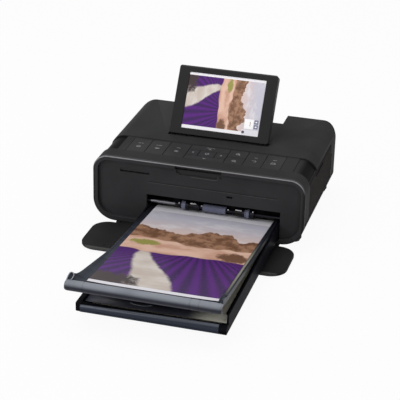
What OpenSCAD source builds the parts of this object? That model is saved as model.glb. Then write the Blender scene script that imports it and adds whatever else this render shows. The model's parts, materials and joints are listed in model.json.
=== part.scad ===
// Compact photo printer: body with a folding screen and keys, ink cassette bay, print works,
// fold-down front door, and a paper cassette with its output tray, holding one fresh print.
// X runs to the viewer's right, the front faces -Y and Z is up; the table is z = 0.

/* [Body] */
// Width of the body
body_w = 180.6; // [178:0.2:186]
// Depth of the body, front rim to rear wall
body_d = 136; // [135:0.5:140]
// Height of the top above the table
body_h = 63.3; // [63:0.1:65]
// Height of the underside above the table
foot_h = 5; // [4.8:0.1:5.4]
// Wall of the body shells
wall = 2.2; // [2:0.1:2.4]
// Radius of the two top edges
top_r = 13; // [11:0.5:13.5]
// Radius of the two bottom edges
base_r = 19; // [17:0.5:20]
// Radius of the two upright rear edges
rear_r = 14.5; // [12:0.5:15]
// Depth of the front bezel ring
bezel_t = 3; // [2.6:0.1:3.4]
// Width of the front bezel ring
bezel_w = 4; // [3.6:0.1:4.6]
// Thickness of the front panel
panel_t = 2.5; // [2.2:0.1:2.8]
// Height of the joint between the two shells
parting_z = 24; // [24:0.1:25]
// Diameter of a rubber foot
foot_d = 10; // [8:0.5:11]
// Thickness of a rubber foot
foot_t = 2; // [1.6:0.1:2.4]

/* [Key strip] */
// Depth of the strip below the top
strip_drop = 0.6; // [0.4:0.05:0.8]
// Front edge of the keys, behind the body's front
strip_front = 17; // [16.6:0.2:17.4]
// Length of the keys, front to back
key_l = 29; // [27:0.5:29.5]
// Gap round each key
key_gap = 0.4; // [0.3:0.05:0.5]
// Thickness of a key cap
key_t = 1.8; // [1.6:0.1:2]
// Travel of a key
key_travel = 0.35; // [0.25:0.05:0.35]

/* [Screen] */
// Width of the screen unit
screen_w = 86.5; // [84:0.5:88]
// Height of the screen unit
screen_l = 59.5; // [57:0.5:60.5]
// Thickness of the screen unit
screen_t = 8; // [7.6:0.1:8.2]
// Angle at which the raised screen stands
screen_angle = 58; // [50:1:62]
// Width of the lit area
lit_w = 67.3; // [64:0.1:69]
// Height of the lit area
lit_l = 48.8; // [46:0.1:49.5]
// Radius of the screen's hinge pin
screen_pin_r = 1; // [0.9:0.05:1.1]

/* [Paper cassette] */
// Width of the cassette
tray_w = 113; // [111:0.5:114]
// Offset of the paper path to the right of the middle
path_x = 12.5; // [12:0.5:13]
// Length of the cassette
tray_l = 196; // [194:1:200]
// Length of cassette that stands in the printer
tray_in = 34; // [33.6:0.1:34.4]
// Wall of the cassette
tray_wall = 1.5; // [1.3:0.1:1.6]
// Height of the cassette's side walls
tray_h = 13.4; // [13:0.1:13.6]
// Width of the paper
paper_w = 100; // [98:0.5:101]
// Length of the paper with its tear-off tabs
paper_l = 185.5; // [183:0.5:187]
// Length of the fresh print
print_l = 175; // [172:0.5:177]
// Height of the stack of blank sheets
stack_h = 3; // [2:0.25:3]
// Thickness of one printed sheet in the model
sheet_t = 0.4; // [0.3:0.05:0.5]
// Rise of the output tray towards its front
tray_rise = 5.2; // [4.6:0.1:5.6]
// Radius of the rolled front lip of the output tray
lip_r = 4.1; // [3.8:0.1:4.4]
// How far the lip's left ear stands out past the cassette
ear_out = 8; // [6:0.5:9]

/* [Front door] */
// Width of the front door
door_w = 172.4; // [168:0.4:176]
// Length of the front door from its hinge
door_l = 52.3; // [50:0.1:54]
// Thickness of the front door
door_t = 2.5; // [2.2:0.1:2.7]
// Corner radius of the front door
door_r = 14; // [10:0.5:16]
// Radius of the door's hinge pin
door_pin_r = 0.8; // [0.7:0.05:0.9]

/* [Ink door] */
// Length of the ink door, front to back
ink_door_l = 86; // [84:0.5:87]
// Height of the ink door's top edge
ink_door_top = 54; // [53:0.25:54.5]
// Radius of the ink door's hinge pin
ink_pin_r = 0.75; // [0.65:0.05:0.8]

/* [Print works] */
// Radius of the feed roller
feed_r = 4; // [3.7:0.1:4.1]
// Radius of the pinch roller
pinch_r = 3.4; // [3:0.1:3.5]
// Radius of the platen roller
platen_r = 5.5; // [5:0.1:5.6]
// Radius of the pickup roller
pickup_r = 8.3; // [8:0.1:8.4]
// Radius of the exit rollers
exit_r = 3.6; // [3.2:0.1:3.7]
// Radius of the roller shafts
shaft_r = 1.5; // [1.3:0.05:1.6]
// Running clearance of a shaft in its bore
run_gap = 0.06; // [0.04:0.01:0.08]
// Module of the gears
gear_m = 0.8; // [0.78:0.01:0.82]
// Thickness of the gears
gear_t = 4.5; // [4:0.25:5]
// Thickness of the chassis plates
plate_t = 1.2; // [1:0.1:1.4]
// Outer radius of the ink cassette's tubes
tube_r = 9.2; // [9:0.1:9.3]
// Wall of the ink cassette's tubes
tube_wall = 0.8; // [0.7:0.05:0.9]
// Distance between the two ink spools
spool_gap = 40; // [39.5:0.25:40.5]

/* [Hidden] */
$fn = 64;

eps = 0.01;
half_w = body_w / 2;
front_y = -body_d / 2;
rear_y = body_d / 2;
shell_y = front_y + bezel_t;      // where the shells start, behind the bezel
panel_back = shell_y + panel_t;
floor_z = foot_h + wall;          // inner floor
roof_z = body_h - wall;           // inner roof

// Paper path
tray_x0 = path_x - tray_w / 2;
tray_x1 = path_x + tray_w / 2;
slot_gap = 0.5;
slot_x0 = tray_x0 - slot_gap;
slot_x1 = tray_x1 + slot_gap;
slot_top = 32;                    // top edge of the front opening
tray_z = floor_z + 1;             // underside of the cassette
tray_top = tray_z + tray_h;
tray_y1 = front_y + tray_in;      // rear end of the cassette
tray_y0 = tray_y1 - tray_l;       // front end of the cassette
tray_floor = tray_z + 1.2;
lift_z = tray_floor + 0.4;
lift_t = 0.6;
stack_z = lift_z + lift_t;
lift_hinge_y = tray_y1 - paper_l - 1;
tray_hinge_y = tray_y1 - 19.5;
tray_hinge_z = tray_z + 9.9;
deck_t = 1.4;                     // plate of the output tray
lip_reach = 184.3;                // output tray's hinge to the middle of its lip
lip_z = -1.4;                     // middle of the lip, below the middle of the deck
flare_y = -112;                   // where the tray's left side starts to flare
ear_y = -lip_reach + 9.7;         // rear edge of the lip's left ear
path_z = 20.2;                    // height of the paper in the print works

// Print works
feed_y = front_y + 41;
feed_z = path_z - 0.1 - feed_r;
pinch_z = path_z + 0.3 + pinch_r;
platen_y = feed_y + 27;
platen_z = path_z - 0.1 - platen_r;
pickup_y = tray_y1 - 8;
pickup_z = tray_top + 0.4 + shaft_r;
exit_y = front_y + 8;
exit_z = path_z + 0.8 + exit_r;
left_x = tray_x0 - 6;             // inner face of the left chassis plate
right_x = tray_x1 + 5.5;          // inner face of the right chassis plate
plate_top = 52.5;
plate_rear = 45;
// lowest point of the plates, clear of the body's rounded bottom edge
plate_over = max(0, right_x + plate_t - half_w + base_r);
plate_low = max(floor_z + 0.8,
    foot_h + base_r + 0.2 - sqrt(pow(base_r - wall, 2) - pow(plate_over, 2)));
feed_teeth = 18;
idler_teeth = 20;
platen_teeth = 16;
pinion_teeth = 10;
spool_z = 39.5;
spool_y0 = platen_y + 1 - spool_gap / 2;
spool_y1 = platen_y + 1 + spool_gap / 2;
tube_x0 = tray_x0;
tube_x1 = tray_x1 + 3;
head_x0 = tray_x0 + 6;
head_x1 = tray_x1 - 6;
roll_x0 = tray_x0 + 4.5;          // ends of the two full-width rollers
roll_x1 = tray_x1 - 4.5;
pivot_y = platen_y + 36;
pivot_z = 50.9;
pivot_r = 1.1;
sink_top = path_z + 23.8;         // top of the head's heat sink

// Screen recess and hinge
bay_floor = 55;                   // floor of the screen recess
bay_gap = 0.9;
bay_x0 = -screen_w / 2 - bay_gap;
bay_x1 = screen_w / 2 + bay_gap;
screen_y = -3.85;
screen_z = bay_floor + 2.5;
screen_knuckle = 2.2;
bay_front = screen_y - screen_knuckle - 0.6;
screen_y0 = screen_y + 5.22;      // lower edge of the folded screen

// Key strip
keys_y0 = front_y + strip_front;
keys_y1 = keys_y0 + key_l;
strip_z = body_h - strip_drop;
pad_x0 = -18;
pad_x1 = 16;
keys_x0 = -half_w + 22.3;
keys_x1 = half_w - 26.3;
key_edges = concat(
    [for (i = [0 : 2]) keys_x0 + (pad_x0 - keys_x0) * 0.32 * i],
    [for (i = [0 : 3]) i == 0 ? pad_x0 : pad_x1 + (keys_x1 - pad_x1) * (i - 1) / 3],
    [keys_x1]
);
ok_x0 = pad_x0 + 10;
ok_x1 = pad_x1 - 10;
ok_y0 = keys_y0 + 9;
ok_y1 = keys_y0 + 20;
switch_top = strip_z - key_t - 2.6; // top of a resting switch
board_t = 1.4;
shoulder_w = 15.3;                // recess at each end of the strip
board_z = switch_top - 1.5 - board_t;

// Sockets and slots of the front and rear
card_x = -half_w + 35.3;          // middle of the card slot
card_z = 50.2;
card_w = 25.2;
card_h = 1.3;
card_rise = 2.4;                  // shallow pocket above the card slot
sensor_x = 26.5;
sensor_z = 39.1;
crease_z = 43.55;
socket_x = -half_w + 24.3;        // middle of the two rear sockets
dc_z = 14.5;
dc_r = 2.9;
usb_z = 26.05;
usb_w = 14;
usb_h = 6.5;
window_x = half_w - rear_r - 0.2; // half width of the rear panel
window_z0 = 9;
window_z1 = 34;

// Doors
door_axis_y = front_y + 0.5;
door_axis_z = 3.1;
door_knuckle = 1.8;
door_z = door_axis_z - door_knuckle + 0.5;
ink_axis_x = half_w - 1.6;
ink_axis_y = 38;
ink_knuckle = 1.6;
ink_gap = 0.3;
ink_barrel_z0 = parting_z + 6;    // space for the door's hinge barrel
ink_barrel_z1 = ink_barrel_z0 + 15;
ink_lug_h = 4;
ink_door_y1 = ink_axis_y - ink_knuckle - ink_gap;
ink_door_y0 = ink_door_y1 - ink_door_l;
ink_door_z0 = parting_z + ink_gap;

post_x = half_w - 9.8;
post_r = 3.5;
post_front_y = front_y + 12;
post_rear_y = rear_y - 12;
foot_x = half_w - 12.3;
foot_front_y = front_y + 23;
foot_rear_y = rear_y - 9;

// The row's origin is on the table, below the middle of the whole object's length.
lip_front = tray_hinge_y - lip_reach * cos(tray_rise) + lip_z * sin(tray_rise) - lip_r;
frame_shift = -(lip_front + rear_y) / 2;

// ---------------------------------------------------------------- helpers

module block(x0, x1, y0, y1, z0, z1)
    translate([x0, y0, z0]) cube([x1 - x0, y1 - y0, z1 - z0]);

// 2D (x, z) outline swept from y0 to y1
module along_y(y0, y1)
    translate([0, y1, 0]) rotate([90, 0, 0]) linear_extrude(y1 - y0) children();

// 2D (y, z) outline swept from x0 to x1
module along_x(x0, x1)
    translate([x0, 0, 0]) rotate([90, 0, 90]) linear_extrude(x1 - x0) children();

module rod_x(x0, x1, y, z, r)
    along_x(x0, x1) translate([y, z]) circle(r);

module tube_x(x0, x1, y, z, r_out, r_in)
    along_x(x0, x1) translate([y, z]) difference() {
        circle(r_out);
        circle(r_in);
    }

module post(x, y, z0, z1, r)
    translate([x, y, z0]) cylinder(r = r, h = z1 - z0);

module soft_rect(x0, x1, y0, y1, r) {
    translate([x0 + r, y0]) square([x1 - x0 - 2 * r, y1 - y0]);
    translate([x0, y0 + r]) square([x1 - x0, y1 - y0 - 2 * r]);
    for (x = [x0 + r, x1 - r], y = [y0 + r, y1 - r]) translate([x, y]) circle(r);
}

// Cross-section of the body, set in by a distance
module outline(inset = 0) {
    w = half_w - inset;
    z0 = foot_h + inset;
    z1 = body_h - inset;
    rt = top_r - inset;
    rb = base_r - inset;
    polygon([
        [-w + rb, z0], [w - rb, z0], [w, z0 + rb], [w, z1 - rt],
        [w - rt, z1], [-w + rt, z1], [-w, z1 - rt], [-w, z0 + rb]
    ]);
    for (s = [-1, 1]) {
        translate([s * (w - rb), z0 + rb]) circle(rb);
        translate([s * (w - rt), z1 - rt]) circle(rt);
    }
}

module plan(inset, y0) {
    w = half_w - inset;
    y1 = rear_y - inset;
    r = rear_r - inset;
    translate([-w, y0]) square([2 * w, y1 - r - y0]);
    translate([-w + r, y0]) square([2 * w - 2 * r, y1 - y0]);
    for (s = [-1, 1]) translate([s * (w - r), y1 - r]) circle(r);
}

module body_solid(inset, y0)
    intersection() {
        along_y(y0, rear_y) outline(inset);
        linear_extrude(body_h + 5) plan(inset, y0);
    }

module body_shell()
    difference() {
        body_solid(0, shell_y);
        body_solid(wall, shell_y - 1);
    }

// Layer of the body's cross-section between two depths below its surface
module skin(inset0, inset1, y0, y1)
    along_y(y0, y1) difference() {
        outline(inset0);
        outline(inset1);
    }

function gear_points(n, m) = [
    for (i = [0 : n - 1], p = [[-0.54, -1.2], [-0.2, 0.85], [0.2, 0.85], [0.54, -1.2]])
        let (a = 360 / n * i + p[0] * 180 / n, r = m * (n / 2 + p[1]))
        [r * cos(a), r * sin(a)]
];

// Gear on an X axis, with one tooth pointing at angle a in the (y, z) plane
module gear(x0, y, z, n, a, bore)
    along_x(x0, x0 + gear_t) translate([y, z]) difference() {
        rotate(a) polygon(gear_points(n, gear_m));
        circle(bore);
    }

function heading(p, q) = atan2(q[1] - p[1], q[0] - p[0]);
function mod_pos(a, b) = a - b * floor(a / b);

// Centres and tooth angles of the gear train, worked out from the tooth counts
feed_c = [feed_y, feed_z];
platen_c = [platen_y, platen_z];
feed_idler = gear_m * (feed_teeth + idler_teeth) / 2;
idler_platen = gear_m * (idler_teeth + platen_teeth) / 2;
span = norm(platen_c - feed_c);
reach = (feed_idler * feed_idler - idler_platen * idler_platen + span * span) / (2 * span);
rise = sqrt(feed_idler * feed_idler - reach * reach);
dir = (platen_c - feed_c) / span;
idler_c = feed_c + dir * reach + [-dir[1], dir[0]] * rise;
pinion_c = idler_c + [0, gear_m * (idler_teeth + pinion_teeth) / 2];
feed_a = heading(feed_c, idler_c);
idler_a = feed_a + 180 + 180 / idler_teeth;
to_platen = heading(idler_c, platen_c);
lag_platen = mod_pos(to_platen - idler_a, 360 / idler_teeth);
platen_a = to_platen + 180 + lag_platen * idler_teeth / platen_teeth + 180 / platen_teeth;
lag_pinion = mod_pos(90 - idler_a, 360 / idler_teeth);
pinion_a = 270 + lag_pinion * idler_teeth / pinion_teeth + 180 / pinion_teeth;
gear_x = left_x - plate_t - 0.8 - gear_t;
motor_x0 = -half_w + 6.3;
main_x0 = -half_w + 5.3;          // main board
main_x1 = left_x - plate_t - 2.3;
main_z = 44;
main_t = 1.6;

// Places a shape drawn with the screen folded flat at its raised angle
module raised()
    translate([0, screen_y, screen_z]) rotate([screen_angle, 0, 0])
        translate([0, -screen_y, -screen_z]) children();

// Output tray's own frame: its hinge is the origin, -Y runs along it
module on_tray()
    translate([0, tray_hinge_y, tray_hinge_z]) rotate([-tray_rise, 0, 0]) children();

// ---------------------------------------------------------------- body

module bottom_case()
    color([0.19, 0.19, 0.19]) difference() {
        union() {
            difference() {
                union() {
                    intersection() {
                        body_shell();
                        block(-half_w, half_w, front_y, rear_y, 0, parting_z);
                    }
                    for (x = [-foot_x, foot_x], y = [foot_front_y, foot_rear_y])
                        post(x, y, foot_t, floor_z + 3, foot_d / 2 + 1.2);
                }
                difference() {
                    body_solid(wall, shell_y - 1);
                    for (x = [-foot_x, foot_x], y = [foot_front_y, foot_rear_y])
                        post(x, y, 0, floor_z + 3, foot_d / 2 + 1.2);
                }
            }
            intersection() {
                body_solid(wall - 0.5, shell_y);
                for (x = [-post_x, post_x], y = [post_front_y, post_rear_y])
                    post(x, y, foot_h, parting_z, post_r);
            }
            // rails under and beside the cassette
            for (x = [tray_x0 + 12, path_x, tray_x1 - 12])
                block(x - 1, x + 1, panel_back, tray_y1 - 4, floor_z - eps, tray_z - 0.2);
            for (x = [slot_x0 - 1.4, slot_x1])
                block(x, x + 1.4, panel_back + 0.2, tray_y1, floor_z - eps, tray_top + 0.2);
            // arms of the front door's hinge
            for (x = [-70, 66.3]) {
                rod_x(x, x + 3.7, door_axis_y, door_axis_z, door_knuckle);
                block(x, x + 3.7, door_axis_y, shell_y + 4, door_axis_z - 1, foot_h - 0.1);
                block(x, x + 3.7, shell_y, shell_y + 4, door_axis_z - 1, foot_h + 0.5);
            }
        }
        for (x = [-post_x, post_x], y = [post_front_y, post_rear_y]) {
            post(x, y, 0, parting_z + 1, 1.7);
            post(x, y, 0, floor_z + 5, 2.9);
        }
        for (x = [-foot_x, foot_x], y = [foot_front_y, foot_rear_y])
            post(x, y, 0, foot_t + 0.8, foot_d / 2);
        rod_x(-71, 71, door_axis_y, door_axis_z, door_pin_r + 0.02);
        rear_window(0.2);
    }

module rear_window(gap)
    block(-window_x - gap, window_x + gap, rear_y - wall - 1, rear_y + 1,
          window_z0 - gap, window_z1 + gap);

// Box standing round a point (x, z)
module box_at(x, z, w, h, y0, y1)
    block(x - w / 2, x + w / 2, y0, y1, z - h / 2, z + h / 2);

module bay_pan()
    difference() {
        block(bay_x0 - 2, bay_x1 + 2, bay_front - 2, rear_y - 0.5, bay_floor - 2, roof_z + 0.5);
        block(bay_x0, bay_x1, bay_front, rear_y + 1, bay_floor, body_h + 1);
    }

module top_case()
    color([0.22, 0.22, 0.22]) difference() {
        union() {
            difference() {
                intersection() {
                    body_shell();
                    block(-half_w, half_w, front_y, rear_y, parting_z, body_h + 1);
                }
                block(bay_x0, bay_x1, bay_front, rear_y + 1, bay_floor, body_h + 1);
            }
            bay_pan();
            for (x = [-post_x, post_x], y = [post_front_y, post_rear_y])
                intersection() {
                    post(x, y, parting_z, body_h, post_r);
                    body_solid(wall - 0.5, shell_y);
                }
            // lugs of the screen's hinge
            for (x = [-screen_w / 2 + 0.5, -27.6, 21.6, screen_w / 2 - 4.9]) {
                rod_x(x, x + 4.4, screen_y, screen_z, screen_knuckle);
                block(x, x + 4.4, screen_y - screen_knuckle, screen_y + 1.6,
                      bay_floor - eps, screen_z - 0.6);
            }
            // posts that carry the boards
            for (x = [key_edges[0] - 3, key_edges[7] + 3], y = [keys_y0 + 4, keys_y1 - 4])
                post(x, y, board_z + board_t, roof_z + 0.5, 2);
            for (x = [main_x0 + 3, main_x1 - 3.5], y = [12, 47])
                post(x, y, main_z + main_t, roof_z + 0.2, 2);
            // lugs and pin of the ink door's hinge
            for (z = [ink_barrel_z0 - ink_lug_h, ink_barrel_z1])
                post(ink_axis_x, ink_axis_y, z, z + ink_lug_h, ink_knuckle);
            post(ink_axis_x, ink_axis_y, ink_barrel_z0 - 1, ink_barrel_z1 + 1, ink_pin_r);
        }
        for (x = [-post_x, post_x], y = [post_front_y, post_rear_y])
            post(x, y, parting_z - 1, parting_z + 14, 1.25);
        // key strip, its window and the shoulder recesses
        intersection() {
            skin(-1, strip_drop, keys_y0, keys_y1 + 1);
            block(-half_w, half_w, keys_y0, keys_y1 + 1, ink_door_top - 1, body_h + 2);
        }
        block(key_edges[0], key_edges[7], keys_y0, keys_y1, roof_z - 1, body_h + 1);
        for (s = [0, 1]) mirror([s, 0, 0])
            block(half_w - shoulder_w, half_w + 1, keys_y0 + 1, keys_y1 + 1, ink_door_top + 0.5, body_h + 1);
        // opening of the ink door, with room for its swinging edge and for its hinge barrel
        block(half_w - 10, half_w + 1, ink_door_y0 - ink_gap, ink_axis_y - ink_pin_r - 0.05,
              parting_z - 1, ink_door_top + ink_gap);
        difference() {
            block(half_w - 4, half_w + 1, ink_axis_y - ink_knuckle, ink_axis_y + ink_knuckle + 0.35,
                  ink_barrel_z0, ink_barrel_z1);
            post(ink_axis_x, ink_axis_y, ink_barrel_z0, ink_barrel_z1, ink_pin_r);
        }
        for (x = [-38, -20, -2, 16, 34, 52])
            block(x, x + 9, rear_y - wall - 1, rear_y + 1, 40, 42);
        for (x = [-38, -20, -2, 16, 34, 52])
            block(x, x + 9, rear_y - wall - 1, rear_y + 1, 45, 47);
        rod_x(-screen_w / 2 - 0.2, screen_w / 2 + 0.2, screen_y, screen_z, screen_pin_r + 0.02);
        rear_window(0.2);
    }

module notch_2d() {
    polygon([[-19, 54.8], [19, 54.8], [20, 61.8], [-20, 61.8]]);
    soft_rect(-17, 17, 53.8, 57, 1.4);
}

module front_bezel()
    color([0.2, 0.2, 0.2]) difference() {
        skin(0, bezel_w, front_y, shell_y);
        block(slot_x0, slot_x1, front_y - 1, shell_y + 1, floor_z, bezel_w + foot_h + 1);
        along_y(front_y - 1, front_y + 2.6) notch_2d();
    }

module front_panel()
    color([0.17, 0.17, 0.17]) difference() {
        along_y(shell_y, panel_back) outline(wall + 0.1);
        block(slot_x0, slot_x1, shell_y - 1, panel_back + 1, floor_z, slot_top);
        block(slot_x0, slot_x1, shell_y - 1, panel_back + 1, foot_h, floor_z + eps);
        box_at(card_x, card_z, card_w, card_h, shell_y - 1, panel_back + 1);
        block(card_x - card_w / 2, card_x + card_w / 2, shell_y - 1, shell_y + 0.5,
              card_z, card_z + card_rise);
        box_at(sensor_x, sensor_z, 5, 1.8, shell_y - 1, panel_back + 1);
        block(slot_x0 + 1.5, slot_x1 - 3.5, shell_y - 1, shell_y + 0.7,
              crease_z - 0.35, crease_z + 0.35);
        along_y(shell_y - 1, shell_y + 1.2) notch_2d();
    }

module rear_panel()
    color([0.15, 0.15, 0.15]) difference() {
        block(-window_x, window_x, rear_y - wall, rear_y, window_z0, window_z1);
        block(path_x - paper_w / 2 - 4, path_x + paper_w / 2 + 4, rear_y - wall - 1, rear_y + 1,
              path_z - 2.6, path_z + 5);
        along_y(rear_y - wall - 1, rear_y + 1) translate([socket_x, dc_z]) circle(dc_r + 1.3);
        box_at(socket_x, usb_z, usb_w - 0.8, usb_h - 0.8, rear_y - wall - 1, rear_y + 1);
    }

module shoulder_inlays()
    color([0.04, 0.04, 0.04]) for (s = [0, 1]) mirror([s, 0, 0])
        intersection() {
            skin(1.2, wall, keys_y0 + 1, keys_y1 + 1);
            block(half_w - shoulder_w, half_w, keys_y0 + 1, keys_y1 + 1, ink_door_top + 0.5, body_h);
        }

module rubber_feet()
    color([0.08, 0.08, 0.08])
    for (x = [-foot_x, foot_x], y = [foot_front_y, foot_rear_y])
        post(x, y, 0, foot_t + 0.8, foot_d / 2 - 0.02);

module case_screws()
    color([0.6, 0.6, 0.62])
    for (x = [-post_x, post_x], y = [post_front_y, post_rear_y])
        difference() {
            union() {
                post(x, y, floor_z + 2.6, floor_z + 5, 2.6);
                post(x, y, floor_z + 4, parting_z + 10, 1.2);
            }
            post(x, y, floor_z + 2, floor_z + 3.6, 1.1, $fn = 6);
        }

// ---------------------------------------------------------------- frame and boards

module plate_2d()
    difference() {
        union() {
            translate([tray_y1 + 1, plate_low])
                square([plate_rear - tray_y1 - 1, plate_top - plate_low]);
            translate([panel_back + 0.2, tray_top + 0.9])
                square([plate_rear - exit_y, card_z - 3.2 - tray_top - 0.9]);
        }
        translate(feed_c) circle(shaft_r + run_gap);
        translate([feed_y, pinch_z]) circle(shaft_r + run_gap);
        translate(platen_c) circle(shaft_r + run_gap);
        translate([pickup_y, pickup_z]) circle(shaft_r + run_gap);
        translate([exit_y, exit_z]) circle(shaft_r + run_gap);
        translate([pivot_y, pivot_z]) circle(pivot_r + run_gap);
        // opening above the paper guide at the rear
        translate([20, path_z - 1.4]) square([plate_rear - 28, 6]);
    }

module left_chassis_plate()
    color([0.62, 0.63, 0.65]) difference() {
        along_x(left_x - plate_t, left_x) plate_2d();
        rod_x(left_x - 3, left_x + 1, idler_c[0], idler_c[1], 1.3);
    }

module right_chassis_plate()
    color([0.62, 0.63, 0.65]) difference() {
        along_x(right_x, right_x + plate_t) plate_2d();
        block(right_x - 1, right_x + 3, spool_y0 - tube_r - 0.5, spool_y1 + tube_r + 0.5,
              spool_z - tube_r - 0.5, spool_z + tube_r + 0.5);
    }

module chassis_ties()
    color([0.58, 0.59, 0.61]) {
        block(left_x, right_x, plate_rear - 5, plate_rear - 1, 41, 43);
        block(left_x, right_x, plate_rear - 5, plate_rear - 1, plate_low + 1.5, plate_low + 3.5);
        block(left_x, right_x, spool_y0 - tube_r - 5, spool_y0 - tube_r - 1.5, 35.5, 37.5);
        rod_x(gear_x - 2, left_x - plate_t / 2, idler_c[0], idler_c[1], 1.25);
    }

module paper_guide()
    color([0.14, 0.14, 0.15]) {
        guide_x0 = left_x + 0.2;
        guide_x1 = right_x - 0.2;
        along_x(slot_x0, slot_x1) polygon([
            [tray_y1 + 0.8, floor_z], [tray_y1 + 2, floor_z], [feed_y - feed_r - 0.6, path_z - 4],
            [feed_y - feed_r - 0.6, path_z - 1], [tray_y1 + 0.8, stack_z + 0.6]
        ]);
        block(guide_x0, guide_x1, feed_y + feed_r + 0.5, platen_y - platen_r - 0.5,
              path_z - 2, path_z - 0.8);
        block(guide_x0, guide_x1, platen_y + platen_r + 0.5, rear_y - wall - 0.3,
              path_z - 2, path_z - 0.8);
        for (x = [slot_x0, slot_x1 - 2]) {
            block(x, x + 2, platen_y + platen_r + 0.5, plate_rear - 7, floor_z, path_z - 1.9);
            block(x, x + 2, feed_y + feed_r + 0.5, platen_y - platen_r - 0.5, floor_z, path_z - 1.9);
        }
    }

module exit_guide()
    color([0.55, 0.57, 0.62, 0.6]) {
        y0 = exit_y + exit_r + 0.4;
        block(left_x, right_x, y0, y0 + 2, slot_top - 4, slot_top);
        for (x = [-24, -14, 3, 30.6, 48]) block(x, x + 6, y0, y0 + 2, path_z + 2.2, slot_top);
    }

module main_board()
    color([0.1, 0.32, 0.18]) {
        top = main_z + main_t;
        block(main_x0, main_x1, 8, 51, main_z, top);
        block(main_x0 + 7, main_x0 + 21, 22, 36, top, top + 2);
        block(main_x0 + 13, main_x0 + 25, 38, 48, top, top + 2.4);
        block(main_x0 + 1, main_x0 + 5, 24, 43, top, top + 5.4);
    }

module card_reader()
    color([0.45, 0.46, 0.48]) difference() {
        box_at(card_x, card_z - 0.25, card_w + 4.8, card_h + 3.1, panel_back, panel_back + 26);
        box_at(card_x, card_z, card_w - 0.4, card_h, panel_back - 1, panel_back + 23);
    }

module dc_socket()
    color([0.08, 0.08, 0.08]) difference() {
        box_at(socket_x, dc_z, 10, 9.8, rear_y - wall - 13, rear_y - wall);
        along_y(rear_y - wall - 10, rear_y) translate([socket_x, dc_z]) circle(dc_r);
    }

module usb_socket()
    color([0.7, 0.7, 0.72]) difference() {
        box_at(socket_x, usb_z, usb_w, usb_h, rear_y - wall - 14, rear_y - wall);
        box_at(socket_x, usb_z, usb_w - 1.4, usb_h - 1.4, rear_y - wall - 12, rear_y + 1);
    }

module drive_motor()
    color([0.5, 0.51, 0.53]) {
        rod_x(motor_x0, gear_x - 2.5, pinion_c[0], pinion_c[1], 9);
        rod_x(gear_x - 2.6, gear_x - 1.2, pinion_c[0], pinion_c[1], 3);
        rod_x(motor_x0 - 2, motor_x0 + 0.1, pinion_c[0], pinion_c[1], 2.5);
    }

module switch_board()
    color([0.12, 0.35, 0.2]) {
        block(key_edges[0] - 5, key_edges[7] + 5, keys_y0 + 1, keys_y1 - 1,
              board_z, board_z + board_t);
        for (c = key_centres) post(c[0], c[1], board_z + board_t - eps, switch_top, 2);
    }

// ---------------------------------------------------------------- ink cassette

module ink_cassette()
    color([0.13, 0.13, 0.14]) difference() {
        union() {
            for (y = [spool_y0, spool_y1]) rod_x(tube_x0, tube_x1, y, spool_z, tube_r);
            for (x = [tube_x0, tube_x1 - 2])
                block(x, x + 2, spool_y0, spool_y1, spool_z - 5, spool_z + 5);
        }
        for (y = [spool_y0, spool_y1]) {
            rod_x(tube_x0 + 2, tube_x1 - 2, y, spool_z, tube_r - tube_wall);
            rod_x(tube_x0 - 1, tube_x1 + 1, y, spool_z, 2 + run_gap);
        }
        block(head_x0 - 1, head_x1 + 1, spool_y0, spool_y0 + 12, spool_z - 12, spool_z - 3.5);
        block(head_x0 - 1, head_x1 + 1, spool_y1 - 12, spool_y1, spool_z - 12, spool_z - 3.5);
    }

module spool(y, film_r) {
    rod_x(tube_x0 + 0.4, tube_x1 - 0.4, y, spool_z, 2);
    rod_x(tube_x0 + 2.4, tube_x1 - 2.4, y, spool_z, 3.6);
    rod_x(head_x0, head_x1, y, spool_z, film_r);
    for (x = [head_x0 - 1.5, head_x1]) rod_x(x, x + 1.5, y, spool_z, tube_r - tube_wall - 0.3);
}

module supply_spool() color([0.2, 0.2, 0.22]) spool(spool_y1, 6.8);

module takeup_spool() color([0.2, 0.2, 0.22]) spool(spool_y0, 5.4);

module ribbon_film()
    color([0.35, 0.1, 0.3]) {
        low = path_z + 0.9;
        edge = [[spool_y0 + 4.6, spool_z - 6.4], [platen_y - 6.5, low],
                [platen_y + 6.5, low], [spool_y1 - 4.6, spool_z - 7]];
        along_x(head_x0, head_x1) polygon(concat(
            edge, [for (i = [3 : -1 : 0]) edge[i] + [0, i == 1 || i == 2 ? 0.3 : 0.5]]
        ));
    }

// ---------------------------------------------------------------- rollers and gears

module feed_roller()
    color([0.5, 0.5, 0.52]) {
        rod_x(gear_x - 0.5, right_x + plate_t + 1, feed_y, feed_z, shaft_r);
        rod_x(roll_x0, roll_x1, feed_y, feed_z, feed_r);
    }

module feed_gear() color([0.85, 0.85, 0.82]) gear(gear_x, feed_y, feed_z, feed_teeth, feed_a, shaft_r);

module idler_gear()
    color([0.85, 0.85, 0.82])
    gear(gear_x, idler_c[0], idler_c[1], idler_teeth, idler_a, 1.25 + run_gap);

module platen_roller()
    color([0.1, 0.1, 0.1]) {
        rod_x(gear_x - 0.5, right_x + plate_t + 1, platen_y, platen_z, shaft_r);
        rod_x(roll_x0, roll_x1, platen_y, platen_z, platen_r);
    }

module platen_gear()
    color([0.85, 0.85, 0.82]) gear(gear_x, platen_y, platen_z, platen_teeth, platen_a, shaft_r);

module motor_pinion()
    color([0.8, 0.68, 0.35]) {
        gear(gear_x, pinion_c[0], pinion_c[1], pinion_teeth, pinion_a, 0.6);
        rod_x(gear_x - 1, gear_x + gear_t + 0.4, pinion_c[0], pinion_c[1], 1);
    }

module pinch_roller()
    color([0.16, 0.16, 0.16]) {
        rod_x(left_x - plate_t - 0.5, right_x + plate_t + 0.5, feed_y, pinch_z, shaft_r);
        for (x = [-34, -8, 18, 44]) rod_x(x, x + 15, feed_y, pinch_z, pinch_r);
    }

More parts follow.
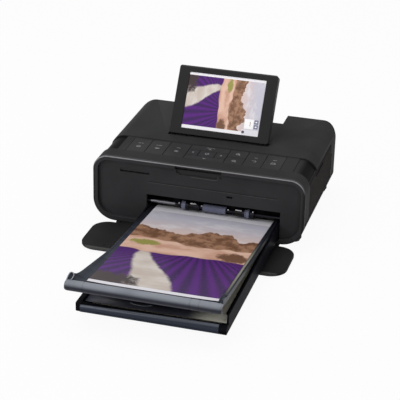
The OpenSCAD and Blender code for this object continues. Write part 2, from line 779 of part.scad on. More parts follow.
module pickup_roller()
    color([0.13, 0.13, 0.13]) {
        rod_x(left_x - plate_t - 0.5, right_x + plate_t + 0.5, pickup_y, pickup_z, shaft_r);
        for (x = [path_x - 24, path_x + 10]) rod_x(x, x + 14, pickup_y, pickup_z, pickup_r);
    }

module exit_roller()
    color([0.75, 0.76, 0.78]) {
        rod_x(left_x - plate_t - 0.5, right_x + plate_t + 0.5, exit_y, exit_z, shaft_r);
        for (x = [-12.5, -4, 37, 43.5]) rod_x(x, x + 3.5, exit_y, exit_z, exit_r);
    }

// ---------------------------------------------------------------- thermal head

module head_frame()
    color([0.6, 0.6, 0.62]) {
        rod_x(left_x - plate_t - 0.5, right_x + plate_t + 0.5, pivot_y, pivot_z, pivot_r);
        for (x = [head_x0 + 1, head_x1 - 4])
            block(x, x + 3, platen_y - 4, pivot_y, pivot_z - 1.1, pivot_z + 1.2);
        block(head_x0 + 1, head_x1 - 1, platen_y - 4, platen_y + 4, pivot_z - 1.1, pivot_z + 1.2);
        block(head_x0 + 1, head_x1 - 1, platen_y - 0.8, platen_y + 0.8, sink_top, pivot_z - 1);
    }

module thermal_head()
    color([0.78, 0.72, 0.6]) {
        block(head_x0, head_x1, platen_y - 3.5, platen_y + 3.5, path_z + 2.4, path_z + 5);
        block(head_x0, head_x1, platen_y - 1.2, platen_y + 1.2, path_z + 1.9, path_z + 2.5);
    }

module heat_sink()
    color([0.7, 0.71, 0.73]) difference() {
        block(head_x0, head_x1, platen_y - 4, platen_y + 4, path_z + 5, sink_top);
        for (i = [0 : 3]) {
            z = path_z + 7.8 + 4 * i;
            block(head_x0 - 1, head_x1 + 1, platen_y - 5, platen_y - 1.4, z, z + 2.2);
            block(head_x0 - 1, head_x1 + 1, platen_y + 1.4, platen_y + 5, z, z + 2.2);
        }
    }

module head_springs()
    color([0.75, 0.75, 0.77])
    for (x = [head_x0 + 6, head_x1 - 12])
        tube_x(x, x + 6, pivot_y, pivot_z, pivot_r + 0.8, pivot_r + 0.1);

// ---------------------------------------------------------------- screen

screen_x0 = -screen_w / 2;
screen_x1 = screen_w / 2;
screen_y1 = screen_y0 + screen_l;
screen_top = body_h;
screen_low = body_h - screen_t;
lid_t = 1.6;                      // thickness of the screen's front frame
lit_y0 = screen_y0 + (screen_l - lit_l) / 2;

module screen_housing()
    color([0.17, 0.17, 0.17]) raised() difference() {
        union() {
            translate([0, 0, screen_low]) linear_extrude(screen_t - lid_t)
                soft_rect(screen_x0, screen_x1, screen_y0, screen_y1, 2);
            for (x = [-38, 28]) {
                rod_x(x, x + 9.6, screen_y, screen_z, screen_knuckle);
                block(x, x + 9.6, screen_y, screen_y0 + 2, screen_low + 0.2, screen_z + 1);
            }
        }
        block(screen_x0 + 4, screen_x1 - 4, screen_y0 + 3, screen_y1 - 3,
              screen_low + 1.6, screen_top);
        rod_x(-40, 40, screen_y, screen_z, screen_pin_r + run_gap);
    }

module screen_bezel()
    color([0.2, 0.2, 0.2]) raised() translate([0, 0, screen_top - lid_t])
        linear_extrude(lid_t) difference() {
            soft_rect(screen_x0, screen_x1, screen_y0, screen_y1, 2);
            translate([-lit_w / 2, lit_y0]) square([lit_w, lit_l]);
        }

module display_panel()
    color([0.8, 0.8, 0.85]) raised() {
        block(-lit_w / 2 + 0.05, lit_w / 2 - 0.05, lit_y0 + 0.05, lit_y0 + lit_l - 0.05,
              screen_top - lid_t - 0.1, screen_top - 0.7);
        block(screen_x0 + 4.5, screen_x1 - 4.5, screen_y0 + 3.4, screen_y1 - 3.4,
              screen_low + 1.6, screen_top - lid_t);
    }

module screen_hinge_pin()
    color([0.7, 0.7, 0.72])
    rod_x(-screen_w / 2 + 0.6, screen_w / 2 - 0.6, screen_y, screen_z, screen_pin_r);

// ---------------------------------------------------------------- keys

pad_mid = (pad_x0 + pad_x1) / 2;
ok_mid = (ok_y0 + ok_y1) / 2;
keys_mid = (keys_y0 + keys_y1) / 2;
function between(i) = (key_edges[i] + key_edges[i + 1]) / 2;
key_centres = [
    [between(0), keys_mid], [between(1), keys_mid], [between(2), keys_mid],
    [pad_mid, (ok_y1 + keys_y1) / 2], [pad_mid, (keys_y0 + ok_y0) / 2],
    [(pad_x0 + ok_x0) / 2, ok_mid], [(ok_x1 + pad_x1) / 2, ok_mid], [pad_mid, ok_mid],
    [between(4), (keys_mid + keys_y1) / 2], [between(4), (keys_mid + keys_y0) / 2],
    [between(5), keys_mid], [between(6), keys_mid]
];

module key(x0, x1, y0, y1, c) {
    g = key_gap / 2;
    color([0.2, 0.2, 0.2]) {
        translate([0, 0, strip_z - key_t]) linear_extrude(key_t)
            soft_rect(x0 + g, x1 - g, y0 + g, y1 - g, 0.8);
        post(c[0], c[1], switch_top + key_travel + 0.05, strip_z - key_t + eps, 1.5);
    }
}

module wide_key(i, c) key(key_edges[i], key_edges[i + 1], keys_y0, keys_y1, c);

module power_key() wide_key(0, key_centres[0]);
module wireless_key() wide_key(1, key_centres[1]);
module menu_key() wide_key(2, key_centres[2]);
module up_key() key(pad_x0, pad_x1, ok_y1, keys_y1, key_centres[3]);
module down_key() key(pad_x0, pad_x1, keys_y0, ok_y0, key_centres[4]);
module left_key() key(pad_x0, ok_x0, ok_y0, ok_y1, key_centres[5]);
module right_key() key(ok_x1, pad_x1, ok_y0, ok_y1, key_centres[6]);
module ok_key() key(ok_x0, ok_x1, ok_y0, ok_y1, key_centres[7]);
module zoom_in_key() key(key_edges[4], key_edges[5], keys_mid, keys_y1, key_centres[8]);
module zoom_out_key() key(key_edges[4], key_edges[5], keys_y0, keys_mid, key_centres[9]);
module back_key() wide_key(5, key_centres[10]);
module print_key() wide_key(6, key_centres[11]);

// ---------------------------------------------------------------- doors

module front_door()
    color([0.13, 0.13, 0.13]) difference() {
        union() {
            translate([0, 0, door_z]) linear_extrude(door_t)
                soft_rect(-door_w / 2, door_w / 2, door_axis_y - door_l, door_axis_y - 2.2, door_r);
            rod_x(-66, 66, door_axis_y, door_axis_z, door_knuckle);
            block(-66, 66, door_axis_y - 3, door_axis_y, door_z + 0.6, door_z + door_t);
        }
        rod_x(-67, 67, door_axis_y, door_axis_z, door_pin_r + run_gap);
        block(-66, -64, door_axis_y - door_l + 7, door_axis_y - door_l + 7.8,
              door_z + door_t - 0.8, door_z + door_t + 1);
    }

module door_hinge_pin()
    color([0.7, 0.7, 0.72]) rod_x(-69.8, 69.8, door_axis_y, door_axis_z, door_pin_r);

module ink_door()
    color([0.17, 0.16, 0.16]) difference() {
        union() {
            intersection() {
                skin(0, wall, ink_door_y0, ink_door_y1);
                block(half_w - 8, half_w + 1, ink_door_y0, ink_door_y1, ink_door_z0, ink_door_top);
            }
            post(ink_axis_x, ink_axis_y, ink_barrel_z0 + 0.2, ink_barrel_z1 - 0.2, ink_knuckle);
            block(half_w - wall, half_w, ink_door_y1 - 1, ink_axis_y,
                  ink_barrel_z0 + 0.2, ink_barrel_z1 - 0.2);
        }
        post(ink_axis_x, ink_axis_y, parting_z, ink_door_top, ink_pin_r + run_gap);
        // finger groove under the top edge
        block(half_w - 0.9, half_w + 1, ink_door_y0 + 21, ink_door_y0 + 51.5,
              ink_door_top - 3.4, ink_door_top - 1.4);
    }

// ---------------------------------------------------------------- paper cassette

module cassette_tray()
    color([0.24, 0.25, 0.3]) difference() {
        union() {
            block(tray_x0, tray_x1, tray_y0, tray_y1, tray_z, tray_floor);
            // right wall is full height, the left one drops where the output tray flares
            block(tray_x1 - tray_wall, tray_x1, tray_y0 + 6, tray_y1, tray_z, tray_top);
            block(tray_x0, tray_x0 + tray_wall, tray_y0 + 75, tray_y1, tray_z, tray_top);
            block(tray_x0, tray_x0 + tray_wall, tray_y0 + 4, tray_y0 + 76, tray_z, tray_z + 8.2);
            // rounded front bar
            block(tray_x0, tray_x1, tray_y0 + 1, tray_y0 + 5, tray_z, tray_z + 3.5);
            rod_x(tray_x0, tray_x1, tray_y0 + 3.3, tray_z + 3.4, 3.3);
            translate([0, 0, tray_z]) linear_extrude(6.6)
                soft_rect(tray_x0 - 3.6, tray_x0 + tray_wall, tray_y0 + 0.6, tray_y0 + 18, 1.4);
            // low rear stop and side guides of the paper
            block(tray_x0 + 10, tray_x1 - 10, tray_y1 - 1, tray_y1, tray_z, stack_z - 0.6);
            for (x = [path_x - paper_w / 2 - 2, path_x + paper_w / 2 + 0.6])
                block(x, x + 1.4, tray_y0 + 20, tray_y1 - 18, tray_z, stack_z + stack_h + 1.2);
            for (x = [tray_x0 + 1, tray_x1 - 4])
                block(x, x + 3, lift_hinge_y - 1.5, lift_hinge_y + 1.5, tray_z, lift_z + 1.4);
        }
        rod_x(tray_x0 - 1, tray_x1 + 1, tray_hinge_y, tray_hinge_z, 1.2 + run_gap);
        rod_x(tray_x0 + 2.5, tray_x1 - 2.5, lift_hinge_y, lift_z + 0.3, 0.7);
    }

module paper_stack()
    color([0.86, 0.84, 0.76])
    block(path_x - paper_w / 2, path_x + paper_w / 2, tray_y1 - paper_l, tray_y1 - 1.6,
          stack_z, stack_z + stack_h);

module lift_plate()
    color([0.72, 0.73, 0.75]) {
        block(path_x - paper_w / 2 - 0.5, path_x + paper_w / 2 + 0.5,
              lift_hinge_y - 0.6, tray_y1 - 6, lift_z, stack_z);
        rod_x(tray_x0 + 2.9, tray_x1 - 2.9, lift_hinge_y, lift_z + 0.3, 0.6);
    }

// Plan of the output tray's left side, flaring towards its ear
module flare_2d(width, inset = 0) {
    inner_x0 = tray_x0 + tray_wall + 0.3;
    ear_x = tray_x0 - ear_out;
    polygon([
        [inner_x0 + inset, -4], [inner_x0 + inset, flare_y],
        [tray_x0 - 2.7 + inset, ear_y + 4.6], [tray_x0 - 4 + inset, ear_y + 0.6 - inset],
        [ear_x + inset, ear_y - inset], [ear_x + inset, -lip_reach],
        [ear_x + width, -lip_reach], [ear_x + width, ear_y - 1.6],
        [tray_x0 - 4 + width, ear_y - 1.2], [tray_x0 - 2.7 + width, ear_y + 4],
        [inner_x0 + width, flare_y], [inner_x0 + width, -4]
    ]);
}

module output_tray()
    color([0.3, 0.32, 0.37]) on_tray() difference() {
        inner_x0 = tray_x0 + tray_wall + 0.3;
        inner_x1 = tray_x1 - tray_wall - 0.3;
        ear_x = tray_x0 - ear_out;
        lip_x1 = tray_x1 - 4.6;
        rail_z = -deck_t / 2 - 0.2;
        union() {
            translate([0, 0, -deck_t / 2]) linear_extrude(deck_t) {
                translate([inner_x0 + 0.3, -lip_reach])
                    square([inner_x1 - inner_x0 - 0.6, lip_reach + 1.2]);
                flare_2d(12, 0.3);
            }
            // side rails, the left one rising towards its ear
            intersection() {
                translate([0, 0, rail_z]) linear_extrude(8) flare_2d(1.6);
                along_x(ear_x - 1, path_x) polygon([
                    [0, rail_z], [0, 1.6], [flare_y, 1.6], [ear_y + 4, 3.4], [ear_y, 4.8],
                    [ear_y - 4, 4.4], [-lip_reach, 0.8], [-lip_reach - 1, rail_z]
                ]);
            }
            block(inner_x1 - 1.6, inner_x1, -lip_reach, -4, rail_z, 3.4);
            // rolled lip, and the curl at its right end
            rod_x(ear_x - 0.2, lip_x1, -lip_reach, lip_z, lip_r);
            along_x(lip_x1 - 0.5, inner_x1 - 0.1) polygon([
                [-lip_reach + 16, 0], [-lip_reach + 10, 3.8], [-lip_reach + 6, 5.4],
                [-lip_reach + 1, 4.4], [-lip_reach - 3, 1], [-lip_reach - 3.6, -2.2],
                [-lip_reach - 1, -4.6], [-lip_reach + 3, -3]
            ]);
            // stub axles
            for (x = [tray_x0 + 0.3, tray_x1 - 3.3]) rod_x(x, x + 3, 0, 0, 1.2);
        }
        // the roll is open along its rear
        rod_x(ear_x + 3, lip_x1 - 3, -lip_reach, lip_z, lip_r - 1.6);
        block(ear_x + 3, lip_x1 - 3, -lip_reach, -lip_reach + lip_r + 1, lip_z - 1.8, lip_z - 0.2);
    }

module print_sheet()
    color([0.9, 0.88, 0.88]) on_tray()
        block(path_x - paper_w / 2, path_x + paper_w / 2, -lip_reach + lip_r + 1.5,
              -lip_reach + lip_r + 1.5 + print_l, deck_t / 2, deck_t / 2 + sheet_t);

// ---------------------------------------------------------------- nodes

module put() translate([0, frame_shift, 0]) children();

put() bottom_case();
put() top_case();
put() front_bezel();
put() front_panel();
put() rear_panel();
put() shoulder_inlays();
put() rubber_feet();
put() case_screws();
put() left_chassis_plate();
put() right_chassis_plate();
put() chassis_ties();
put() paper_guide();
put() exit_guide();
put() main_board();
put() card_reader();
put() dc_socket();
put() usb_socket();
put() drive_motor();
put() switch_board();
put() ink_cassette();
put() ribbon_film();
put() supply_spool();
put() takeup_spool();
put() feed_roller();
put() feed_gear();
put() idler_gear();
put() platen_roller();
put() platen_gear();
put() motor_pinion();
put() pinch_roller();
put() pickup_roller();
put() exit_roller();
put() head_frame();
put() thermal_head();
put() heat_sink();
put() head_springs();
put() screen_housing();
put() screen_bezel();
put() display_panel();
put() screen_hinge_pin();
put() power_key();
put() wireless_key();
put() menu_key();
put() up_key();
put() down_key();
put() left_key();
put() right_key();
put() ok_key();
put() zoom_in_key();
put() zoom_out_key();
put() back_key();
put() print_key();
put() front_door();
put() door_hinge_pin();
put() ink_door();
put() cassette_tray();
put() paper_stack();
put() lift_plate();
put() output_tray();
put() print_sheet();
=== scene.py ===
import json
import math

import bmesh
import bpy
from mathutils import Matrix, Vector


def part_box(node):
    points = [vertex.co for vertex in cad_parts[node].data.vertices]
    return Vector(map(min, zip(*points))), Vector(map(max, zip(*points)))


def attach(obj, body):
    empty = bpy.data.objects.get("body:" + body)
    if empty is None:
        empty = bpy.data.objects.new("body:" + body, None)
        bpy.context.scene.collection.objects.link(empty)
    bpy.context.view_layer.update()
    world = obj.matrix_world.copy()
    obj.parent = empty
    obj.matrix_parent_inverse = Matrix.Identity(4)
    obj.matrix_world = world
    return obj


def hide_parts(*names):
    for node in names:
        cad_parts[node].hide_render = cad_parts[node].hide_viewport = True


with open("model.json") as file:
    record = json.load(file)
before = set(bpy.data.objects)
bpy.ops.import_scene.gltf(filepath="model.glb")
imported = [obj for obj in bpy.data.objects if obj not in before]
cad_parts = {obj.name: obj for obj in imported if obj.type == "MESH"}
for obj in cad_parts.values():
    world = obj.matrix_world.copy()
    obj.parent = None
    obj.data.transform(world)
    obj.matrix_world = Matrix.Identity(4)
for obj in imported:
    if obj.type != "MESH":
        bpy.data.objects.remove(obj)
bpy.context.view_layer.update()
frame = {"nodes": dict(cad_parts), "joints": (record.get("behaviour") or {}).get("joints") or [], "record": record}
nodes = frame["nodes"]
joints = {joint["name"]: joint for joint in frame["joints"]}
bodyOf = {name: body for body, names in frame["record"]["behaviour"]["bodies"].items() for name in names}
mm = 0.001
print("frame loaded:", len(nodes), "nodes")

# places taken from the frame
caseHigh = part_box("top_case")[1]
halfWidth, topZ = caseHigh.x, caseHigh.z
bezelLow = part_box("front_bezel")[0]
frontY, footTop = bezelLow.y, bezelLow.z
trayLow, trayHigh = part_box("cassette_tray")
stackLow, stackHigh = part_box("paper_stack")
printLow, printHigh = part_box("print_sheet")
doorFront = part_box("front_door")[0].y
screenLow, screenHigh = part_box("screen_bezel")
trayHinge = joints["output_tray_hinge"]
trayRise = -math.radians(trayHinge["range_deg"][0])
trayPlace = Matrix.Translation(Vector(trayHinge["pos_m"])) @ Matrix.Rotation(-trayRise, 4, "X")
lipReach = 184.3 * mm       # from the hinge to the middle of the lip
lipDrop = -1.4 * mm
lipPlace = trayPlace @ Vector((0, -lipReach, lipDrop))


def addObject(name, data):
    made = bpy.data.objects.new(name, data)
    bpy.context.scene.collection.objects.link(made)
    return made


# camera, as the photograph was taken
shot = {
    "target": (-12.26, 54.04, 8.74),    # mm, y behind the front edge of the bezel
    "azimuth": 15.26, "elevation": 25.02, "distance": 1308.05, "roll": 1.41,
    "focalPixels": 1517.94, "framePixels": 400, "sensor": 36.0, "clip": (0.05, 20),
}


def placeCamera():
    data = bpy.data.cameras.new("shot")
    data.sensor_width = shot["sensor"]
    data.lens = shot["focalPixels"] * shot["sensor"] / shot["framePixels"]
    data.clip_start, data.clip_end = shot["clip"]
    turn = math.radians(shot["azimuth"])
    lift = math.radians(shot["elevation"])
    back = Vector((math.sin(turn) * math.cos(lift), -math.cos(turn) * math.cos(lift), math.sin(lift)))
    aim = (-back).to_track_quat("-Z", "Y").to_matrix().to_4x4()
    roll = Matrix.Rotation(math.radians(shot["roll"]), 4, "Z")
    camera = addObject("shot", data)
    camera.location = (Vector(shot["target"]) + back * shot["distance"]) * mm + Vector((0, frontY, 0))
    camera.rotation_euler = (aim @ roll).to_euler()
    bpy.context.scene.camera = camera


placeCamera()
print("camera placed")


def paint(red, green, blue):
    # a colour as seen on screen, 0 to 255, made linear
    def linear(value):
        value /= 255
        return value / 12.92 if value <= 0.04045 else ((value + 0.055) / 1.055) ** 2.4
    return (linear(red), linear(green), linear(blue), 1.0)


class Wire:
    # one output socket, written in sums as if it were a number
    def __init__(self, graph, socket):
        self.graph = graph
        self.socket = socket

    def maths(self, operation, first, second=0.0):
        return self.graph.node("ShaderNodeMath", {"operation": operation}, {0: first, 1: second})

    def __add__(self, other): return self.maths("ADD", self, other)
    def __radd__(self, other): return self.maths("ADD", other, self)
    def __sub__(self, other): return self.maths("SUBTRACT", self, other)
    def __rsub__(self, other): return self.maths("SUBTRACT", other, self)
    def __mul__(self, other): return self.maths("MULTIPLY", self, other)
    def __rmul__(self, other): return self.maths("MULTIPLY", other, self)
    def __truediv__(self, other): return self.maths("DIVIDE", self, other)
    def __rtruediv__(self, other): return self.maths("DIVIDE", other, self)
    def __pow__(self, other): return self.maths("POWER", self, other)
    def most(self, other): return self.maths("MAXIMUM", self, other)
    def size(self): return self.maths("ABSOLUTE", self)
    def sine(self): return self.maths("SINE", self)

    def ramp(self, low, high, unit=1.0):
        # 0 below low, 1 above high, smooth between, and the other way round if low is above high
        inputs = {"Value": self, "From Min": low * unit, "From Max": high * unit}
        return self.graph.node("ShaderNodeMapRange", {"interpolation_type": "SMOOTHSTEP"}, inputs)

    def between(self, low, high, soft):
        # 1 inside a span with soft ends
        return (self - low).ramp(-soft, soft) * (high - self).ramp(-soft, soft)


class Graph:
    # any node tree: settings are set first, then the values or links of the sockets
    def node(self, kind, settings=None, inputs=None, output=0):
        made = self.tree.nodes.new(kind)
        for key, value in (settings or {}).items():
            setattr(made, key, value)
        for key, value in (inputs or {}).items():
            if isinstance(value, Wire):
                self.tree.links.new(value.socket, made.inputs[key])
            elif value is not None:
                made.inputs[key].default_value = value
        return Wire(self, made.outputs[output])

    def vector(self, x=0.0, y=0.0, z=0.0):
        return self.node("ShaderNodeCombineXYZ", None, {0: x, 1: y, 2: z})

    def end(self, kind, socket, wire):
        self.tree.links.new(wire.socket, self.tree.nodes.new(kind).inputs[socket])

    def plainRays(self):
        # 1 for what the camera, gloss and clear plastic see, 0 for the light on the object
        rays = self.node("ShaderNodeLightPath").socket.node.outputs
        kinds = ("Camera", "Glossy", "Transmission")
        camera, gloss, clear = [Wire(self, rays[f"Is {kind} Ray"]) for kind in kinds]
        return camera.most(gloss).most(clear)


class Finish(Graph):
    def __init__(self, name):
        self.material = bpy.data.materials.new(name)
        self.material.use_nodes = True
        self.tree = self.material.node_tree
        self.tree.nodes.clear()
        self.place = self.node("ShaderNodeTexCoord", output="Object")

    def axes(self):
        outputs = self.node("ShaderNodeSeparateXYZ", None, {0: self.place}).socket.node.outputs
        return [Wire(self, outputs[k]) for k in range(3)]

    def noise(self, perMetre, detail=2.0, rough=0.5, at=None):
        inputs = {"Vector": at or self.place, "Scale": perMetre, "Detail": detail, "Roughness": rough}
        return self.node("ShaderNodeTexNoise", None, inputs)

    def streaks(self, perMetre, detail=3.0, rough=0.5):
        # noise with its own scale along each axis
        inputs = {0: self.place, 1: perMetre}
        drawn = self.node("ShaderNodeVectorMath", {"operation": "MULTIPLY"}, inputs)
        return self.noise(1.0, detail, rough, at=drawn)

    def mix(self, factor, first, second):
        # a side is a wire or a colour as seen on screen
        first, second = [paint(*side) if isinstance(side, tuple) else side for side in (first, second)]
        return self.node("ShaderNodeMix", {"data_type": "RGBA"}, {0: factor, 6: first, 7: second}, output=2)

    def lay(self, factor, tone):
        # covers the colour so far with a tone
        self.colour = self.mix(factor, self.colour, tone)

    def close(self, shader):
        self.end("ShaderNodeOutputMaterial", "Surface", shader)
        return self.material

    def surface(self, rough, more, height=None, depth=0.0):
        # a surface of the colour laid so far, with its relief and the relief's depth in mm
        inputs = {"Base Color": self.colour, "Roughness": rough, **more}
        if height:
            relief = {"Height": height, "Distance": depth * mm, "Strength": 1.0}
            inputs["Normal"] = self.node("ShaderNodeBump", None, relief)
        return self.close(self.node("ShaderNodeBsdfPrincipled", None, inputs))


def mouldedPlastic(name, colour, shade, dust, perMetre, depth, rough, shine, fleck, lightAndShade=None):
    # fine spark-eroded grain, a faint uneven gloss and a little dust in the colour,
    # and where given a band of painted light and shade along one axis
    finish = Finish(name)
    finish.colour = colour
    grain = finish.noise(perMetre, 3.0, 0.6)
    cloud = finish.noise(28.0, 3.0, 0.55)
    finish.lay(cloud.ramp(0.35, 0.7), shade)
    finish.lay(grain.ramp(0.62, 0.8) * fleck, dust)
    # painted light and shade: a tone laid over the colour along one axis
    if lightAndShade:
        tone, axis, start, full, *edges = lightAndShade
        along = finish.axes()[axis]
        change = along.ramp(start, full)
        for edge in edges:
            change = change * along.ramp(edge, edge + mm)
        finish.lay(change, tone)
    gloss = rough + (cloud - 0.5) * 0.12 + (grain - 0.5) * 0.1
    return finish.surface(gloss, {"Specular IOR Level": shine}, grain, depth)


# clear strip right of the print, and painted shade on the rail beside it, in mm beyond its edge or inward from the
# lip
trayStrip = {
    "width": 3.2, "showsFrom": (8, 60), "endsAt": (135, 85), "rail": (3.0, 3.6), "railFrom": (10, 60),
    "slotShade": (105, 165), "strength": 0.85,
}
# painted light on the cassette's front bar, in mm: the spans over which its edges fade, its black ends, and where
# its painted highlight fades in
trayBar = {"depth": (2.9, 2.3), "height": (5.9, 5.5), "rise": 0.011, "leftEnd": 3.9, "rightEnd": 6.2,
           "top": (3.6, 5.1)}


def smokyPlastic(name, look):
    # see-through slate plastic: cloudy inside, polished outside
    finish = Finish(name)
    finish.colour, shade, dust = look["tones"]
    x, y, z = finish.axes()
    drawn = finish.streaks((12.0, 160.0, 160.0))
    finish.lay(finish.noise(45.0, 3.0).ramp(0.3, 0.7), shade)
    finish.lay(drawn.ramp(0.45, 0.75) * 0.35, dust)
    if "shadeBelowMiddle" in look:
        # painted shade: the roll is darker below its middle
        height = (y - lipPlace.y) * math.sin(trayRise) + (z - lipPlace.z) * math.cos(trayRise)
        finish.lay(height.ramp(2.6, -0.4, mm), look["shadeBelowMiddle"])
    if "paperShows" in look:
        # the blank paper glows through the clear strip
        beyond = x - printHigh.x
        inward = y - lipPlace.y
        strip = beyond.ramp(-0.2, 0.6, mm) * (trayStrip["width"] * mm - beyond).ramp(-0.8, 0.6, mm)
        strip = strip * inward.ramp(*trayStrip["showsFrom"], mm) * inward.ramp(*trayStrip["endsAt"], mm)
        finish.lay(strip * trayStrip["strength"], look["paperShows"])
        # painted shade: the right rail is darkened but near the lip, and the deck darkens towards the slot
        rail = beyond.ramp(*trayStrip["rail"], mm) * inward.ramp(*trayStrip["railFrom"], mm)
        dark = rail.most(inward.ramp(*trayStrip["slotShade"], mm))
        finish.lay(dark * trayStrip["strength"], look["rail"])
    if "bar" in look:
        # painted light: the rounded front bar is paler than the walls, between black ends, with a painted
        # highlight along its upper rounding
        height = z - trayLow.z - (x - trayLow.x) * trayBar["rise"]
        face = finish.mix(height.ramp(*trayBar["top"], mm), look["bar"], look["barHighlight"])
        bar = (y - trayLow.y).ramp(*trayBar["depth"], mm) * height.ramp(*trayBar["height"], mm)
        left, right = trayLow.x + trayBar["leftEnd"] * mm, trayHigh.x - trayBar["rightEnd"] * mm
        finish.lay(bar * x.between(left, right, 0.2 * mm), face)
    return finish.surface(look["rough"] + (drawn - 0.5) * 0.12, {
        "Specular IOR Level": look["shine"], "Transmission Weight": look["clear"], "IOR": 1.5,
    }, finish.noise(1400.0), 0.004)


def metal(name, look):
    # drawn or ground metal, its lines along one axis
    finish = Finish(name)
    lines = finish.streaks(look["lines"], rough=0.6)
    cloud = finish.noise(60.0)
    finish.colour = finish.mix(lines.ramp(0.3, 0.75), *look["tones"])
    if "bright" in look:
        brightColour, left, right = look["bright"]
        finish.lay(finish.axes()[0].between(left * mm, right * mm, 0.3 * mm), brightColour)
    rough = look["rough"] + (lines - 0.5) * 0.25 + (cloud - 0.5) * 0.1
    return finish.surface(rough, {"Metallic": 1.0}, lines, 0.006)


def rubber(name, look):
    finish = Finish(name)
    fine = finish.noise(1800.0, 3.0, 0.7)
    finish.colour = finish.mix(finish.noise(90.0, 3.0).ramp(0.3, 0.75), *look["tones"])
    return finish.surface(0.78 + (fine - 0.5) * 0.2, {"Specular IOR Level": 0.25}, fine, 0.03)


def paper(name, look):
    # coated paper: faint fibres and a soft sheen
    finish = Finish(name)
    fibre = finish.streaks((900.0, 260.0, 900.0), 4.0, 0.65)
    finish.colour = finish.mix(finish.noise(35.0).ramp(0.25, 0.75), *look["tones"])
    return finish.surface(look["rough"] + (fibre - 0.5) * 0.15, {"Specular IOR Level": 0.4}, fibre, 0.01)


def circuitBoard(name, look):
    # green board with copper tracks on a fine grid
    finish = Finish(name)
    across, along = finish.axes()[:2]
    cell = finish.node("ShaderNodeTexVoronoi", {"distance": "MANHATTAN", "feature": "F1"},
                       {"Vector": finish.place, "Scale": 420.0, "Randomness": 0.35})
    tracks = ((across * 2600.0).sine() * (along * 1900.0).sine()).ramp(0.1, 0.3)
    finish.colour = finish.mix(tracks, look["board"], look["track"])
    finish.lay(cell.ramp(0.16, 0.1), look["pad"])
    return finish.surface(0.35 + tracks * 0.15, {}, tracks, 0.03)


def inkFilm(name, look):
    # dye ribbon, wound from panels of three colours
    finish = Finish(name)
    panel = (finish.axes()[1] * 75.0).sine()
    finish.colour = finish.mix(panel.ramp(-0.35, -0.25), look["first"], look["second"])
    finish.lay(panel.ramp(0.35, 0.45), look["third"])
    ripple = finish.streaks((30.0, 400.0, 400.0), 2.0)
    return finish.surface(0.22 + ripple * 0.2, {"Coat Weight": 0.4}, ripple, 0.05)


picture = {
    "sky": (196, 194, 206), "cloud": (226, 222, 226), "glow": (222, 194, 182),
    "peak": (112, 78, 58), "peakLight": (166, 126, 100), "dune": (224, 186, 166),
    "duneShade": (198, 152, 130), "field": (84, 22, 120), "fieldDark": (50, 16, 78),
    "path": (216, 208, 200), "pathShade": (196, 182, 172), "bush": (150, 146, 78), "bank": (58, 44, 46),
    # ridges: height of their middle, height and number of waves, seed, detail and softness
    "peakRidge": (0.76, 0.34, 3.1, 1.7, 4.0, 0.006), "duneRidge": (0.6, 0.2, 2.2, 6.3, 2.0, 0.006),
    "fieldRidge": (0.44, 0.12, 2.0, 3.9, 2.0, 0.005),
    # patches: middle across and up, width, height and raggedness
    "bushPatch": (0.16, 0.55, 0.12, 0.035, 16.0), "bankPatch": (0.05, 0.03, 0.3, 0.1, 7.0),
    "hillPatch": (0.9, 0.5, 0.13, 0.06, 12.0),
    "rows": 22.0, "rowsMeetAt": 0.62, "horizon": 0.47, "pathWidth": 0.36,
}


def landscape(finish, across, up):
    # flowering rows below dunes and hills, under a pale sky; across and up run from 0 to 1
    def texture(perWidth, perHeight, seed, detail, rough):
        return finish.noise(1.0, detail, rough, at=finish.vector(across * perWidth, up * perHeight, seed))

    def below(ridge):
        middle, height, waves, seed, detail, soft = picture[ridge]
        wave = finish.noise(1.0, detail, 0.55, at=finish.vector(across * waves, seed))
        return (middle + (wave - 0.5) * height - up).ramp(-soft, soft)

    def patch(name):
        middleAcross, middleUp, wide, tall, rag = picture[name]
        away = ((across - middleAcross) / wide) ** 2.0 + ((up - middleUp) / tall) ** 2.0
        return (away + (texture(rag, rag, middleUp, 5.0, 0.7) - 0.5) * 3.4).ramp(1.3, 0.5)

    clouds = texture(2.4, 6.5, 3.0, 5.0, 0.6).ramp(0.48, 0.68)
    finish.colour = finish.mix(up.ramp(0.62, 0.95), picture["glow"], picture["sky"])
    finish.lay(clouds, picture["cloud"])
    rock = texture(9.0, 14.0, 5.0, 5.0, 0.7).ramp(0.4, 0.62)
    finish.lay(below("peakRidge"), finish.mix(rock, picture["peak"], picture["peakLight"]))
    sweep = texture(3.0, 9.0, 8.0, 3.0, 0.5)
    dunes = finish.mix(sweep.ramp(0.4, 0.62), picture["dune"], picture["duneShade"])
    finish.lay(below("duneRidge"), dunes)
    finish.lay(patch("bushPatch"), picture["bush"])
    # rows of flowers run to a far point and are wider near the viewer
    depth = (picture["horizon"] - up).most(0.02)
    speckle = texture(45.0, 60.0, 2.0, 5.0, 0.8)
    rows = ((across - picture["rowsMeetAt"]) / (depth + 0.12) * picture["rows"] + speckle * 2.6).sine()
    flowers = finish.mix((rows * 0.3 + speckle).ramp(0.1, 0.9), picture["fieldDark"], picture["field"])
    field = below("fieldRidge")
    finish.lay(field, flowers)
    # a winding path with a ragged verge
    middle = 0.24 + (up - 0.42) * -0.45 + (up * 13.0).sine() * 0.03
    verge = (texture(16.0, 22.0, 4.0, 4.0, 0.7) - 0.5) * 0.05
    path = ((across - middle).size() - (0.03 + depth * picture["pathWidth"]) + verge).ramp(0.02, -0.02)
    sand = finish.mix(sweep.ramp(0.35, 0.65), picture["path"], picture["pathShade"])
    finish.lay(path * field, sand)
    finish.lay(patch("bankPatch"), picture["bank"])
    finish.lay(patch("hillPatch"), picture["peak"])


# the bare ends of the print, as shares of its length
freshPrint = {"nearEnd": 0.028, "farEnd": 0.925, "bare": (232, 230, 236), "tuckedIn": 1.2, "thick": 0.25}


